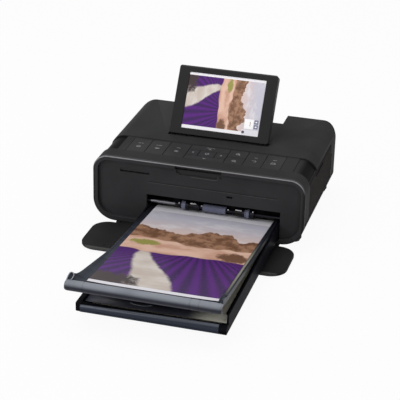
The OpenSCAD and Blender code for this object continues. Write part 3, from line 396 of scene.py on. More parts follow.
def printedPaper(name, low, high):
    # glossy print: the picture runs to the edges but for a bare strip at each end
    finish = Finish(name)
    x, y = finish.axes()[:2]
    near, far = freshPrint["nearEnd"], freshPrint["farEnd"]
    along = (y - low.y) / (high.y - low.y)
    landscape(finish, (x - low.x) / (high.x - low.x), (along - near) / (far - near))
    bare = (along - near).ramp(0.001, -0.001).most((along - far).ramp(-0.001, 0.001))
    finish.lay(bare, freshPrint["bare"])
    fibre = finish.streaks((700.0, 300.0, 700.0), rough=0.6)
    return finish.surface(0.3 + (fibre - 0.5) * 0.08, {
        "Specular IOR Level": 0.12, "Coat Weight": 0.04, "Coat Roughness": 0.1}, fibre, 0.004)


# the lit area and what it shows, in mm and in shares of its width and height
display = {
    "wide": 67.3, "tall": 48.8, "frameLength": 59.5, "setBack": 1.6, "glow": 0.3,
    "lowBar": 0.06, "highBar": 0.955, "bar": (238, 236, 240),
    # left, right, low, high and colour
    "boxes": [
        (0.78, 1.0, 0.0, 0.105, (222, 220, 226)), (0.805, 0.92, 0.12, 0.29, (250, 249, 250)),
        (0.875, 0.882, 0.165, 0.245, (120, 90, 60)),
        (0.93, 0.98, 0.13, 0.2, (92, 96, 118)), (0.942, 0.968, 0.15, 0.18, (226, 226, 236)),
        (0.93, 0.98, 0.215, 0.285, (92, 96, 118)), (0.942, 0.968, 0.235, 0.265, (226, 226, 236)),
    ],
    "spot": (0.8, 0.055), "spotColour": (70, 66, 74), "lineColour": (30, 30, 34),
}


def litDisplay(name, corner, alongUp):
    # the same picture lying on its side, with a pale bar above and below and a small count box
    finish = Finish(name)
    wide, tall = display["wide"] * mm, display["tall"] * mm
    x, y, z = finish.axes()
    across = (x - corner.x) / wide
    up = ((y - corner.y) * alongUp.y + (z - corner.z) * alongUp.z) / tall
    landscape(finish, 1.0 - up, across)
    bars = (up - display["lowBar"]).ramp(0.004, -0.004).most((up - display["highBar"]).ramp(-0.004, 0.004))
    finish.lay(bars, display["bar"])
    for left, right, low, high, boxColour in display["boxes"]:
        inside = across.between(left, right, 0.002) * up.between(low, high, 0.002)
        finish.lay(inside, boxColour)
    spotAcross, spotUp = display["spot"]
    spot = ((across - spotAcross) * (wide / tall)) ** 2.0 + (up - spotUp) ** 2.0
    finish.lay(spot.ramp(0.0008, 0.0005), display["spotColour"])
    lines = ((up * 480.0).sine() * 0.5 + 0.5) * 0.03
    finish.lay(lines, display["lineColour"])
    return finish.surface(0.3, {
        "Specular IOR Level": 0.3, "Emission Color": finish.colour, "Emission Strength": display["glow"]})


# mouldings: name, colour, shade, dust, grain per metre, its depth in mm, roughness, shine and fleck
mouldings = {
    "body": ("bodyGrain", (52, 52, 53), (48, 48, 49), (84, 84, 86), 2600.0, 0.02, 0.6, 0.02, 0.2),
    # the front mouldings are painted paler than the top case, as light on the front faces
    "front": ("frontGrain", (62, 62, 64), (56, 56, 58), (88, 88, 92), 2600.0, 0.018, 0.55, 0.08, 0.2),
    # the side mouldings are painted darker and warmer than the top case, as shade on the sides
    "side": ("sideGrain", (45, 43, 42), (40, 38, 37), (70, 66, 63), 2400.0, 0.02, 0.65, 0.006, 0.2),
    "door": ("doorGrain", (43, 43, 43), (38, 38, 38), (66, 66, 66), 2400.0, 0.02, 0.55, 0.03, 0.2),
    "key": ("keyGrain", (54, 54, 55), (50, 50, 51), (86, 86, 88), 2800.0, 0.014, 0.5, 0.03, 0.2),
    "screen": ("screenGrain", (50, 50, 51), (46, 46, 47), (80, 80, 82), 2800.0, 0.012, 0.5, 0.06, 0.2),
    "inlay": ("inlayBlack", (12, 12, 13), (9, 9, 10), (24, 24, 26), 1800.0, 0.004, 0.4, 0.01, 0.1),
    "gloss": ("glossBlack", (10, 10, 11), (8, 8, 9), (26, 26, 28), 900.0, 0.002, 0.16, 0.2, 0.1),
    "rim": ("polishedRim", (42, 42, 44), (38, 38, 40), (60, 60, 62), 1500.0, 0.003, 0.35, 0.1, 0.1),
    "black": ("blackMoulding", (22, 22, 24), (18, 18, 20), (50, 50, 54), 2000.0, 0.015, 0.5, 0.12, 0.2),
    "nylon": ("gearNylon", (222, 219, 206), (208, 204, 190), (240, 238, 230), 1600.0, 0.008, 0.4, 0.4, 0.2),
    "slate": ("slateBlock", (124, 128, 148), (108, 111, 132), (150, 154, 168), 1600.0, 0.008, 0.35, 0.15,
              0.2),
    # pure white, painted as glints on the exit shaft
    "glint": ("whitePin", (250, 250, 252), (244, 244, 246), (252, 252, 252), 1600.0, 0.004, 0.25, 0.5, 0.1),
    "mark": ("greyMarks", (156, 156, 160), (144, 144, 148), (172, 172, 174), 2400.0, 0.004, 0.5, 0.2, 0.2),
    # painted highlight beads on the front's crease and notch lip
    "softMark": ("dimMarks", (82, 82, 84), (76, 76, 78), (100, 100, 102), 2400.0, 0.004, 0.5, 0.1, 0.2),
    # painted shade: a dark sheet laid over the paper under the lip
    "cover": ("smokedCover", (84, 85, 97), (74, 75, 86), (98, 98, 110), 1200.0, 0.004, 0.35, 0.08, 0.2),
}
# painted light and shade on some mouldings: the tone, the axis, where on it the change starts and is full,
# and an edge beyond which it shows
paintedLightAndShade = {
    # painted shade: the front mouldings darken to the sides' tone at their right side
    "front": ((40, 38, 37), 0, halfWidth - 3 * mm, halfWidth - 0.9 * mm),
    # painted highlight along the door's front edge
    "door": ((80, 80, 79), 1, doorFront + 3.2 * mm, doorFront + 1.2 * mm),
    # painted highlight along the top edge of the screen mouldings
    "screen": ((84, 84, 86), 2, screenHigh.z - 1.1 * mm, screenHigh.z - 0.5 * mm),
    # painted light on the inner part of the right shoulder inlay
    "inlay": ((50, 50, 51), 0, halfWidth - 7 * mm, halfWidth - 14 * mm, 0.0),
    # painted highlight on the upper part of the rim bead
    "rim": ((158, 158, 160), 2, topZ - 13 * mm, topZ - 2.5 * mm),
    # painted light: the shade sheet turns pale beige towards its right end
    "cover": ((246, 243, 226), 0, trayHigh.x - 34 * mm, trayHigh.x - 16 * mm),
}
finishes = {key: mouldedPlastic(*row, paintedLightAndShade.get(key)) for key, row in mouldings.items()}
finishes.update({
    "smoke": smokyPlastic("smokySlate", {
        "tones": ((56, 60, 70), (46, 49, 59), (76, 80, 90)), "rough": 0.34, "shine": 0.05, "clear": 0.04,
        # the rail tone is painted shade on the rail and towards the slot
        "paperShows": (158, 156, 142), "rail": (20, 20, 25)}),
    # the rolled lip is painted much paler than the deck as light on the roll, with painted shade below its middle
    "lip": smokyPlastic("rolledSlatePaintedLight", {
        "tones": ((142, 146, 155), (130, 134, 143), (160, 164, 171)), "rough": 0.36, "shine": 0.15,
        "clear": 0.02, "shadeBelowMiddle": (44, 45, 56)}),
    # pale beads painted as highlights: the curled ear's edge and the finger mark on the shade sheet
    "edge": smokyPlastic("slateEdgeHighlight", {
        "tones": ((168, 172, 180), (150, 154, 162), (190, 192, 198)), "rough": 0.3, "shine": 0.3,
        "clear": 0.03}),
    # the cassette's front bar gets painted light and a painted highlight along its upper rounding
    "tray": smokyPlastic("cassetteSlate", {
        "tones": ((24, 24, 29), (19, 19, 23), (40, 42, 50)), "rough": 0.4, "shine": 0.004, "clear": 0.02,
        "bar": (66, 71, 83), "barHighlight": (134, 139, 151)}),
    "steel": metal("drawnSteel", {
        "tones": ((172, 174, 180), (138, 140, 146)), "lines": (20.0, 900.0, 900.0), "rough": 0.3}),
    "darkSteel": metal("blackenedSteel", {
        "tones": ((44, 44, 50), (30, 30, 36)), "lines": (20.0, 900.0, 900.0), "rough": 0.45,
        "bright": ((124, 124, 130), -41.8, -20.8)}),
    "sheetSteel": metal("sheetSteel", {
        "tones": ((160, 162, 166), (132, 134, 138)), "lines": (700.0, 40.0, 700.0), "rough": 0.42}),
    "brass": metal("turnedBrass", {
        "tones": ((206, 176, 104), (176, 146, 82)), "lines": (60.0, 800.0, 800.0), "rough": 0.3}),
    "rubber": rubber("footRubber", {"tones": ((26, 26, 27), (20, 20, 21))}),
    "roller": rubber("rollerRubber", {"tones": ((38, 38, 40), (28, 28, 30))}),
    "blank": paper("blankPaper", {"tones": ((214, 208, 190), (206, 199, 180)), "rough": 0.5}),
    "ceramic": paper("headCeramic", {"tones": ((206, 194, 164), (190, 178, 150)), "rough": 0.35}),
    "board": circuitBoard("circuitBoard", {
        "board": (22, 74, 44), "track": (34, 104, 60), "pad": (176, 160, 110)}),
    "film": inkFilm("inkFilm", {"first": (150, 110, 20), "second": (120, 25, 75), "third": (20, 70, 105)}),
})
print("finishes made:", len(finishes))


def addPiece(name, mesh, node, replaced=False):
    # the piece rides with the body of a node, and may stand in for the node
    piece = addObject(name, mesh)
    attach(piece, bodyOf[node])
    if replaced:
        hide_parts(node)


def setMaterial(mesh, finish):
    mesh.materials.clear()
    mesh.materials.append(finishes[finish] if isinstance(finish, str) else finish)


def meshFrom(work, name, outward=False):
    # a plain mesh from a bmesh, with its faces turned outwards if asked
    if outward:
        bmesh.ops.recalc_face_normals(work, faces=work.faces)
    mesh = bpy.data.meshes.new(name)
    work.to_mesh(mesh)
    work.free()
    return mesh


def shadeByAngle(mesh, angle=35):
    for polygon in mesh.polygons:
        polygon.use_smooth = True
    mesh.set_sharp_from_angle(angle=math.radians(angle))
    return mesh


def evaluated(helper):
    # the helper's mesh with its modifiers carried out; the helper goes
    graph = bpy.context.evaluated_depsgraph_get()
    mesh = bpy.data.meshes.new_from_object(helper.evaluated_get(graph), preserve_all_data_layers=True,
                                           depsgraph=graph)
    bpy.data.objects.remove(helper)
    return mesh


def bakedMesh(mesh, kind, settings):
    helper = addObject("helper", mesh)
    modifier = helper.modifiers.new(kind, kind)
    for key, value in settings.items():
        setattr(modifier, key, value)
    return evaluated(helper)


def joined(name, parts, finishNames, angle=35):
    # one mesh from several, each with the number of its finish
    work = bmesh.new()
    numbers = []
    for mesh, number in parts:
        work.from_mesh(mesh)
        numbers += [number] * len(mesh.polygons)
    result = shadeByAngle(meshFrom(work, name), angle)
    for finish in finishNames:
        result.materials.append(finishes[finish])
    result.polygons.foreach_set("material_index", numbers)
    return result


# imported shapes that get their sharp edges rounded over: width of the rounding in mm, and finish
easedNodes = {
    "top_case": (0.3, "body"), "bottom_case": (0.3, "side"), "front_panel": (0.2, "front"),
    "front_bezel": (0.3, "front"), "rear_panel": (0.25, "door"), "screen_housing": (0.3, "screen"),
    "screen_bezel": (0.25, "screen"), "ink_door": (0.3, "side"), "front_door": (0.4, "door"),
    "shoulder_inlays": (0.15, "inlay"), "cassette_tray": (0.25, "tray"), "lift_plate": (0.1, "sheetSteel"),
    "paper_guide": (0.2, "black"), "exit_guide": (0.25, "smoke"), "card_reader": (0.2, "sheetSteel"),
    "ink_cassette": (0.25, "black"),
}
easedNodes.update({name: (0.25, "key") for name in nodes if name.endswith("_key")})
easing = {"steps": 2, "sharpFrom": 33, "mergeWithin": 2e-6, "flatWithin": 0.4}


def easedPiece(node, width, finish):
    work = bmesh.new()
    work.from_mesh(nodes[node].data)
    bmesh.ops.remove_doubles(work, verts=work.verts, dist=easing["mergeWithin"])
    bmesh.ops.dissolve_limit(work, angle_limit=math.radians(easing["flatWithin"]), verts=work.verts,
                             edges=work.edges)
    mesh = bakedMesh(shadeByAngle(meshFrom(work, node + "_eased"), easing["sharpFrom"]), "BEVEL", {
        "limit_method": "ANGLE", "angle_limit": math.radians(easing["sharpFrom"]), "width": width * mm,
        "segments": easing["steps"], "use_clamp_overlap": False, "harden_normals": True,
        "miter_outer": "MITER_SHARP"})
    setMaterial(mesh, finish)
    addPiece(node + "_shell", mesh, node, True)


for node, (width, finish) in easedNodes.items():
    easedPiece(node, width, finish)
print("shells eased:", len(easedNodes))


def smooth(value):
    value = min(max(value, 0.0), 1.0)
    return value * value * (3 - 2 * value)


def ringAngles(sides):
    return [math.tau * k / sides for k in range(sides)]


def arc(x, y, radius, start, end, steps=14):
    angles = [math.radians(start + (end - start) * k / steps) for k in range(steps + 1)]
    return [(x + radius * math.cos(a), y + radius * math.sin(a)) for a in angles]


def curve(points, steps=6):
    # smooth path through points
    path = []
    for k in range(len(points) - 1):
        p0, p1 = points[max(k - 1, 0)], points[k]
        p2, p3 = points[k + 1], points[min(k + 2, len(points) - 1)]
        for t in (j / steps for j in range(steps)):
            path.append(0.5 * (2 * p1 + (p2 - p0) * t + (2 * p0 - 5 * p1 + 4 * p2 - p3) * t * t
                               + (3 * p1 - p0 - 3 * p2 + p3) * t ** 3))
    return path + [points[-1]]


def skin(work, rings, endless=False):
    # faces between one ring of vertices and the next, and over both ends unless the row is endless
    count = len(rings[0])
    for first, second in zip(rings, rings[1:] + (rings[:1] if endless else [])):
        for k in range(count):
            work.faces.new((first[k], first[(k + 1) % count], second[(k + 1) % count], second[k]))
    if not endless:
        work.faces.new(list(reversed(rings[0])))
        work.faces.new(rings[-1])


def loftMesh(name, rings):
    work = bmesh.new()
    skin(work, [[work.verts.new(point) for point in ring] for ring in rings])
    return meshFrom(work, name, outward=True)


def beadMesh(name, points, radius, sides=10):
    # a round bead through points, with closed ends
    rings = []
    for k, point in enumerate(points):
        ahead = points[min(k + 1, len(points) - 1)] - points[max(k - 1, 0)]
        turn = ahead.to_track_quat("Z", "Y")
        rings.append([point + turn @ Vector((radius * math.cos(a), radius * math.sin(a), 0))
                      for a in ringAngles(sides)])
    return loftMesh(name, rings)


# the tray that catches the prints, in mm; its deck runs from the hinge to the lip
catchTray = {
    "deck": 1.4, "right": 67.2, "rightLift": 3.4, "rightCurl": 2.0, "curlFrom": 172, "curlOver": 8,
    # distance from the hinge, left edge, height of the edge
    "leftEdge": [(0, -42.2, 1.2), (111, -42.2, 1.4), (140, -44.4, 2.4), (168, -46.5, 3.4),
                 (172.6, -47.3, 3.7), (174.2, -48.7, 4.2), (174.9, -51.4, 4.7), (176.4, -52.0, 4.8),
                 (184.3, -52.0, 1.4)],
    "flatFrom": -40.0, "flareFrom": 111, "flareOver": 63, "flareIn": 6.0, "flareCurve": 2.4,
    "flareSteps": 10,
    "lipRadius": 4.1, "lipWall": 1.3, "lipEnd": 64.4, "lipRound": 2.6, "lipSteps": 22, "lipPitch": 1.1,
    "rollFrom": -112, "rollTo": 116, "rollMore": 14, "seams": (-37.6, 43.8, 50.6), "seamDepth": 0.22,
    "axleRadius": 1.2, "axleLength": 3.0,
    "sections": [3, *range(4, 111, 6), 111, *range(116, 171, 6), 173.2, 174.2, 174.9, 175.6, 176.4, 179,
                 181.4, 183],
    # a pale bead painted as the highlight along the curled ear's edge, and a bead along the curl at the right end:
    # x, distance from the hinge, height
    "earRim": [(-51.3, 184.6, 2.2), (-51.4, 180.5, 4.1), (-51.2, 177.0, 5.2), (-50.2, 175.6, 5.2),
               (-48.8, 175.9, 4.7), (-48.0, 177.8, 3.8), (-47.8, 181.0, 3.1), (-47.9, 184.4, 2.8)],
    "curlRim": [(64.2, 183.4, 2.9), (64.4, 179.4, 4.4), (65.0, 175.0, 5.2), (65.9, 171.6, 4.2),
                (66.2, 167.0, 3.3)],
    "earRimRadius": 0.4, "curlRimRadius": 0.8,
}
tray = catchTray
earX = tray["leftEdge"][-1][1]
lipRight = tray["lipEnd"] + 3.0


def onTray(x, along, z):
    return trayPlace @ (Vector((x, -along, z)) * mm)


def leftEdge(along):
    # place and height of the tray's left edge
    rows = tray["leftEdge"]
    for (a0, x0, z0), (a1, x1, z1) in zip(rows, rows[1:]):
        if along <= a1:
            t = (along - a0) / (a1 - a0)
            return x0 + (x1 - x0) * t, z0 + (z1 - z0) * t


def deckRing(along):
    # cross-section of deck and rails, along is the distance from the hinge
    outer, lift = leftEdge(along)
    inner = tray["flatFrom"] + tray["flareIn"] * smooth((along - tray["flareFrom"]) / tray["flareOver"])
    half = tray["deck"] / 2
    steps = tray["flareSteps"]

    def flare(k):
        return (1 - k / steps) ** tray["flareCurve"]

    top = [(outer, lift - 0.25), (outer + 0.25, lift)]
    top += [(outer + 1.0 + (inner - outer - 1.0) * k / steps, half + (lift - half) * flare(k))
            for k in range(1, steps + 1)]
    right = tray["right"]
    rail = tray["rightLift"] + tray["rightCurl"] * smooth((along - tray["curlFrom"]) / tray["curlOver"])
    top += [(right - 1.7, half), (right - 1.5, half + 0.4), (right - 1.3, rail), (right - 0.25, rail),
            (right, rail - 0.25)]
    bottom = [(right, -half), (inner, -half)]
    bottom += [(outer + (inner - outer) * k / steps, -half + (lift - tray["deck"]) * flare(k))
               for k in range(steps - 1, 0, -1)]
    bottom.append((outer, lift - 1.3))
    return [onTray(x, along, z) for x, z in top + bottom]


def lipRing(x):
    # cross-section of the rolled lip, a thick C open towards the deck
    radius = tray["lipRadius"]
    for side in (x - earX, lipRight - x):
        if side < tray["lipRound"]:
            radius -= 0.9 * (1 - math.sqrt(max(0.0, 1 - (1 - side / tray["lipRound"]) ** 2)))
    for seam in tray["seams"]:
        if abs(x - seam) < 0.3:
            radius -= tray["seamDepth"]
    start = tray["rollFrom"]
    end = tray["rollTo"] + tray["rollMore"] * smooth((earX + 8 - x) / 8)     # rolled further at the ear
    outside = arc(0, 0, radius, start, end, tray["lipSteps"])
    inside = arc(0, 0, radius - tray["lipWall"], end, start, tray["lipSteps"])
    return [trayPlace @ Vector((x * mm, -lipReach - y * mm, lipDrop + z * mm)) for y, z in outside + inside]


def makeCatchTray():
    deck = loftMesh("deck", [deckRing(along) for along in tray["sections"]])
    rounding = (0.02, 0.15, 0.4, 0.9, 1.6, 2.6)
    start = earX + 3.6
    steps = math.ceil((tray["lipEnd"] - start) / tray["lipPitch"])
    xs = [start + tray["lipPitch"] * k for k in range(steps)]
    xs += [earX + side for side in rounding] + [lipRight - side for side in rounding]
    for seam in tray["seams"]:
        xs = [x for x in xs if abs(x - seam) > 0.75]
        xs += [seam - 0.32, seam - 0.28, seam + 0.28, seam + 0.32]
    lip = loftMesh("lip", [lipRing(x) for x in sorted(xs)])
    axles = []
    for left in (trayLow.x / mm + 0.3, trayHigh.x / mm - 3.3):
        axles.append(loftMesh("axle", [
            [onTray(x, -tray["axleRadius"] * math.cos(a), tray["axleRadius"] * math.sin(a))
             for a in ringAngles(20)] for x in (left, left + tray["axleLength"])]))
    rims = [beadMesh(name, curve([onTray(*point) for point in tray[name]]), tray[name + "Radius"] * mm)
            for name in ("earRim", "curlRim")]
    parts = [(deck, 0), (axles[0], 0), (axles[1], 0), (lip, 1), (rims[0], 2), (rims[1], 0)]
    mesh = joined("output_tray_moulding", parts, ("smoke", "lip", "edge"))
    addPiece("output_tray_moulding", mesh, "output_tray", True)


makeCatchTray()
print("output tray made")


def makePrint():
    # the sheet bows up a little between its two long edges and lifts at its near corners
    low, high = printLow, printHigh
    tucked = freshPrint["tuckedIn"] * mm        # its near edge is tucked up to the lip
    near = (trayPlace.inverted() @ Vector((0, low.y, low.z))).y - tucked
    length = (high.y - low.y) / math.cos(trayRise) + tucked
    columns, rows = 24, 40
    work = bmesh.new()
    points = []
    for i in range(columns + 1):
        points.append([])
        for j in range(rows + 1):
            across, along = i / columns, j / rows
            bow = math.sin(math.pi * across) * 0.5 * math.sin(math.pi * (0.15 + along * 0.7))
            curl = (abs(across - 0.5) * 2) ** 3 * max(0.0, 0.12 - along) * 6
            z = (tray["deck"] / 2 + 0.1 + bow + curl) * mm
            place = Vector((low.x + (high.x - low.x) * across, near + length * along, z))
            points[i].append(work.verts.new(trayPlace @ place))
    for first, second in zip(points, points[1:]):
        for j in range(rows):
            work.faces.new((first[j], second[j], second[j + 1], first[j + 1]))
    mesh = bakedMesh(meshFrom(work, "sheet", outward=True), "SOLIDIFY", {
        "thickness": freshPrint["thick"] * mm, "offset": 1.0})
    setMaterial(shadeByAngle(mesh, 40), printedPaper("printedPaper", low, high))
    addPiece("print_sheet_curled", mesh, "print_sheet", True)


makePrint()


class Recipe(Graph):
    # a Geometry Nodes tree with named inputs for its sizes
    def __init__(self, name, sizes):
        self.tree = bpy.data.node_groups.new(name, "GeometryNodeTree")
        interface = self.tree.interface
        interface.new_socket("Geometry", in_out="OUTPUT", socket_type="NodeSocketGeometry")
        for label, value in sizes.items():
            kind = "NodeSocketInt" if isinstance(value, int) else "NodeSocketFloat"
            interface.new_socket(label, in_out="INPUT", socket_type=kind)
        entry = self.tree.nodes.new("NodeGroupInput")
        self.size = {label: Wire(self, entry.outputs[label]) for label in sizes}
        self.sizes = sizes

    def block(self, *labels):
        sides = self.vector(*[self.size[label] for label in labels])
        return self.node("GeometryNodeMeshCube", None, {"Size": sides})

    def row(self, count, pitch, shape):
        line = self.node("GeometryNodeMeshLine", None, {"Count": count, "Offset": pitch})
        return self.node("GeometryNodeInstanceOnPoints", None, {"Points": line, "Instance": shape})

    def finish(self, geometry, finish):
        real = self.node("GeometryNodeRealizeInstances", None, {"Geometry": geometry})
        done = self.node("GeometryNodeSetMaterial", None, {"Geometry": real, "Material": finishes[finish]})
        self.end("NodeGroupOutput", "Geometry", done)

    def make(self, name, node, place, replaced=False):
        helper = addObject("helper", bpy.data.meshes.new("helper"))
        modifier = helper.modifiers.new("recipe", "NODES")
        modifier.node_group = self.tree
        for item in self.tree.interface.items_tree:
            if item.in_out == "INPUT":
                modifier[item.identifier] = self.sizes[item.name]
        mesh = evaluated(helper)
        mesh.transform(place)
        addPiece(name, shadeByAngle(mesh, 30), node, replaced)


def makePaperStack():
    # blank sheets, each a little out of line with the next
    room = 0.3 * mm
    sheets = 11
    recipe = Recipe("sheetPile", {
        "Sheets": sheets, "Width": stackHigh.x - stackLow.x - 2 * room,
        "Length": stackHigh.y - stackLow.y - 2 * room, "Thickness": 0.24 * mm,
        "Pitch": (stackHigh.z - stackLow.z - room) / (sheets - 1), "Slip": 0.25 * mm, "Seed": 5})
    size = recipe.size
    sheet = recipe.block("Width", "Length", "Thickness")
    pile = recipe.row(size["Sheets"], recipe.vector(z=size["Pitch"]), sheet)
    slip, back = size["Slip"], size["Slip"] * -1.0
    slips = recipe.node("FunctionNodeRandomValue", {"data_type": "FLOAT_VECTOR"}, {
        0: recipe.vector(back, back), 1: recipe.vector(slip, slip), "Seed": size["Seed"]})
    pile = recipe.node("GeometryNodeTranslateInstances", None, {"Instances": pile, "Translation": slips})
    recipe.finish(pile, "blank")
    middle = (stackLow + stackHigh) / 2
    recipe.make("paper_sheets", "paper_stack",
                Matrix.Translation((middle.x, middle.y, stackLow.z + room / 2)), True)


makePaperStack()
print("paper made")


def makeRim():
    # polished bead round the front edge of the bezel, painted paler towards the top as a highlight: top and bottom
    # corners differ
    bead = 0.62 * mm
    topCorner, baseCorner = 13 * mm, 19 * mm
    recipe = Recipe("rimBead", {
        "Width": 2 * (halfWidth - bead), "Height": topZ - footTop - 2 * bead,
        "Top Radius": topCorner - bead, "Base Radius": baseCorner - bead, "Bead": bead})
    size = recipe.size
    outline = recipe.node("GeometryNodeCurvePrimitiveQuadrilateral", {"mode": "RECTANGLE"},
                          {"Width": size["Width"], "Height": size["Height"]})
    index = recipe.node("GeometryNodeInputIndex")
    top = index.maths("LESS_THAN", index, 1.5)      # the rectangle's first two corners
    radius = top * size["Top Radius"] + (1.0 - top) * size["Base Radius"]
    outline = recipe.node("GeometryNodeFilletCurve", {"mode": "POLY"},
                          {"Curve": outline, "Radius": radius, "Limit Radius": True, "Count": 18})
    section = recipe.node("GeometryNodeCurvePrimitiveCircle", None,
                          {"Resolution": 10, "Radius": size["Bead"]})
    swept = recipe.node("GeometryNodeCurveToMesh", None, {"Curve": outline, "Profile Curve": section})
    recipe.finish(swept, "rim")
    upright = Matrix.Rotation(math.radians(90), 4, "X")
    recipe.make("bezel_rim", "front_bezel",
                Matrix.Translation((0, frontY + bead * 0.7, (topZ + footTop) / 2)) @ upright)


makeRim()


def makeEarGrips():
    # short upright grips on the cassette's left ear
    recipe = Recipe("earGrips", {
        "Count": 6, "Pitch": 2.4 * mm, "Thickness": 0.6 * mm, "Length": 1.1 * mm, "Height": 5 * mm})
    size = recipe.size
    grip = recipe.block("Thickness", "Length", "Height")
    recipe.finish(recipe.row(size["Count"], recipe.vector(y=size["Pitch"]), grip), "black")
    recipe.make("cassette_grips", "cassette_tray",
                Matrix.Translation((trayLow.x - 0.1 * mm, trayLow.y + 3.6 * mm, trayLow.z + 3.3 * mm)))


makeEarGrips()


# dark sheet between the front bar and the blank paper, painted shade under the lip, pale towards its right end as
# painted light, in mm
cover = {
    "inset": 2.0, "front": 6.9, "rear": 19.6, "thick": 0.5, "above": 0.55, "slope": 0.3, "eased": 0.2,
    # curved finger mark, with a pale bead painted as its highlight: x and distance behind the tray's front
    "mark": [(-9.0, 14.2), (-5.0, 12.8), (-0.5, 12.3), (4.0, 13.0), (8.0, 15.0)],
    "markHeight": 0.95, "markRadius": 0.3,
}


def makeShadeSheet():
    size = Vector((trayHigh.x - trayLow.x - 2 * cover["inset"] * mm,
                   (cover["rear"] - cover["front"]) * mm, cover["thick"] * mm))
    middle = Vector(((trayLow.x + trayHigh.x) / 2, trayLow.y + (cover["front"] + cover["rear"]) / 2 * mm,
                     stackHigh.z + (cover["above"] + cover["thick"] / 2) * mm))
    work = bmesh.new()
    bmesh.ops.create_cube(work, size=1.0, matrix=Matrix.Translation(middle) @ Matrix.Diagonal(size.to_4d()))
    for vertex in work.verts:
        if vertex.co.y > middle.y:
            vertex.co.z -= cover["slope"] * mm      # down to the paper
    strip = bakedMesh(shadeByAngle(meshFrom(work, "cover")), "BEVEL", {
        "width": cover["eased"] * mm, "segments": 2, "harden_normals": True})
    origin = Vector((0, trayLow.y, stackHigh.z))
    points = [Vector((x, along, cover["markHeight"])) * mm + origin for x, along in cover["mark"]]
    mark = beadMesh("mark", curve(points, 4), cover["markRadius"] * mm, 8)
    mesh = joined("cover", [(strip, 0), (mark, 1)], ("cover", "edge"))
    addPiece("cassette_shade_sheet", mesh, "cassette_tray")


makeShadeSheet()


# pale beads painted as highlights on edges of the front, in mm: the crease of the panel and the lip of the finger
# notch
frontEdges = {
    "crease": [(-43, 3.1, 42.95), (65.8, 3.1, 42.95)],
    "notch": [(-6, 0.34, 53.95), (6, 0.34, 53.95), (15.4, 0.34, 53.95), (16.6, 0.34, 55.0),
              (16.8, 0.34, 57.4)],
    "radius": 0.3,
}


def makeFrontEdges():
    beads = []
    for path in (frontEdges["crease"], curve([Vector(point) for point in frontEdges["notch"]], 4)):
        points = [Vector(point) * mm + Vector((0, frontY, 0)) for point in path]
        beads.append((beadMesh("edge", points, frontEdges["radius"] * mm, 8), 0))
    addPiece("front_edge_highlights", joined("front_edge_highlights", beads, ["softMark"]), "front_panel")


makeFrontEdges()


exitShaft = {
    # sleeves on the exit shaft, in mm: from, to, radius and finish
    "sleeves": [(-14.9, -11.3, 3.66, "slate"), (3.4, 22.9, 3.3, "slate"), (39.0, 42.9, 3.66, "slate"),
                (-9.4, 0.6, 3.0, "gloss"), (29.8, 38.2, 3.0, "gloss")],
    "grooveFrom": 0.8, "grooveDepth": 0.12, "eased": 0.25,
    # white pins let into their tops, painted as glints: from, to and distance from the shaft's middle
    "pins": [(-17.8, -16.6, 1.9), (-7.4, -2.2, 3.45), (1.6, 2.9, 1.9), (24.2, 25.4, 1.9),
             (31.0, 36.6, 3.15), (45.3, 46.6, 3.45)],
    "pinRadius": 0.46, "pinAngle": 58, "pinEased": 0.12,
}


def makeExitSleeves():
    low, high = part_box("exit_roller")
    axis = (low + high) / 2
    tilt = math.radians(exitShaft["pinAngle"])

    def ring(x, radius, sides, out=0.0):
        # points round the shaft, or round a line beside it
        centre = Vector((x * mm, axis.y - out * mm * math.cos(tilt), axis.z + out * mm * math.sin(tilt)))
        return [centre + Vector((0, radius * math.cos(a), radius * math.sin(a))) * mm
                for a in ringAngles(sides)]

    eased = exitShaft["eased"]
    for number, (left, right, radius, finish) in enumerate(exitShaft["sleeves"]):
        groove = left + exitShaft["grooveFrom"]
        low = radius - exitShaft["grooveDepth"]
        rows = [(left, radius - eased), (left + eased, radius), (groove, radius), (groove + 0.1, low),
                (groove + 0.3, low), (groove + 0.4, radius), (right - eased, radius),
                (right, radius - eased)]
        mesh = shadeByAngle(loftMesh("sleeve", [ring(x, r, 32) for x, r in rows]), 25)
        setMaterial(mesh, finish)
        addPiece(f"exit_sleeve_{number}", mesh, "exit_roller")
    full, eased = exitShaft["pinRadius"], exitShaft["pinEased"]
    pins = []
    for left, right, out in exitShaft["pins"]:
        rows = [(left, full / 2), (left + eased, full), (right - eased, full), (right, full / 2)]
        pins.append((loftMesh("pin", [ring(x, r, 12, out) for x, r in rows]), 0))
    addPiece("exit_glint_pins", joined("pins", pins, ["glint"], 30), "exit_roller")


makeExitSleeves()
print("grips, cover and sleeves made")


def frameOf(x0, y0, x1, y1):
    return [(x0, y0), (x1, y0), (x1, y1), (x0, y1), (x0, y0)]


def dashes(y, *lengths, gap=0.5):
    # a short row of strokes in place of a legend
    x = -(sum(lengths) + gap * (len(lengths) - 1)) / 2
    rows = []
    for length in lengths:
        rows.append([(x, y), (x + length, y)])
        x += length + gap
    return rows


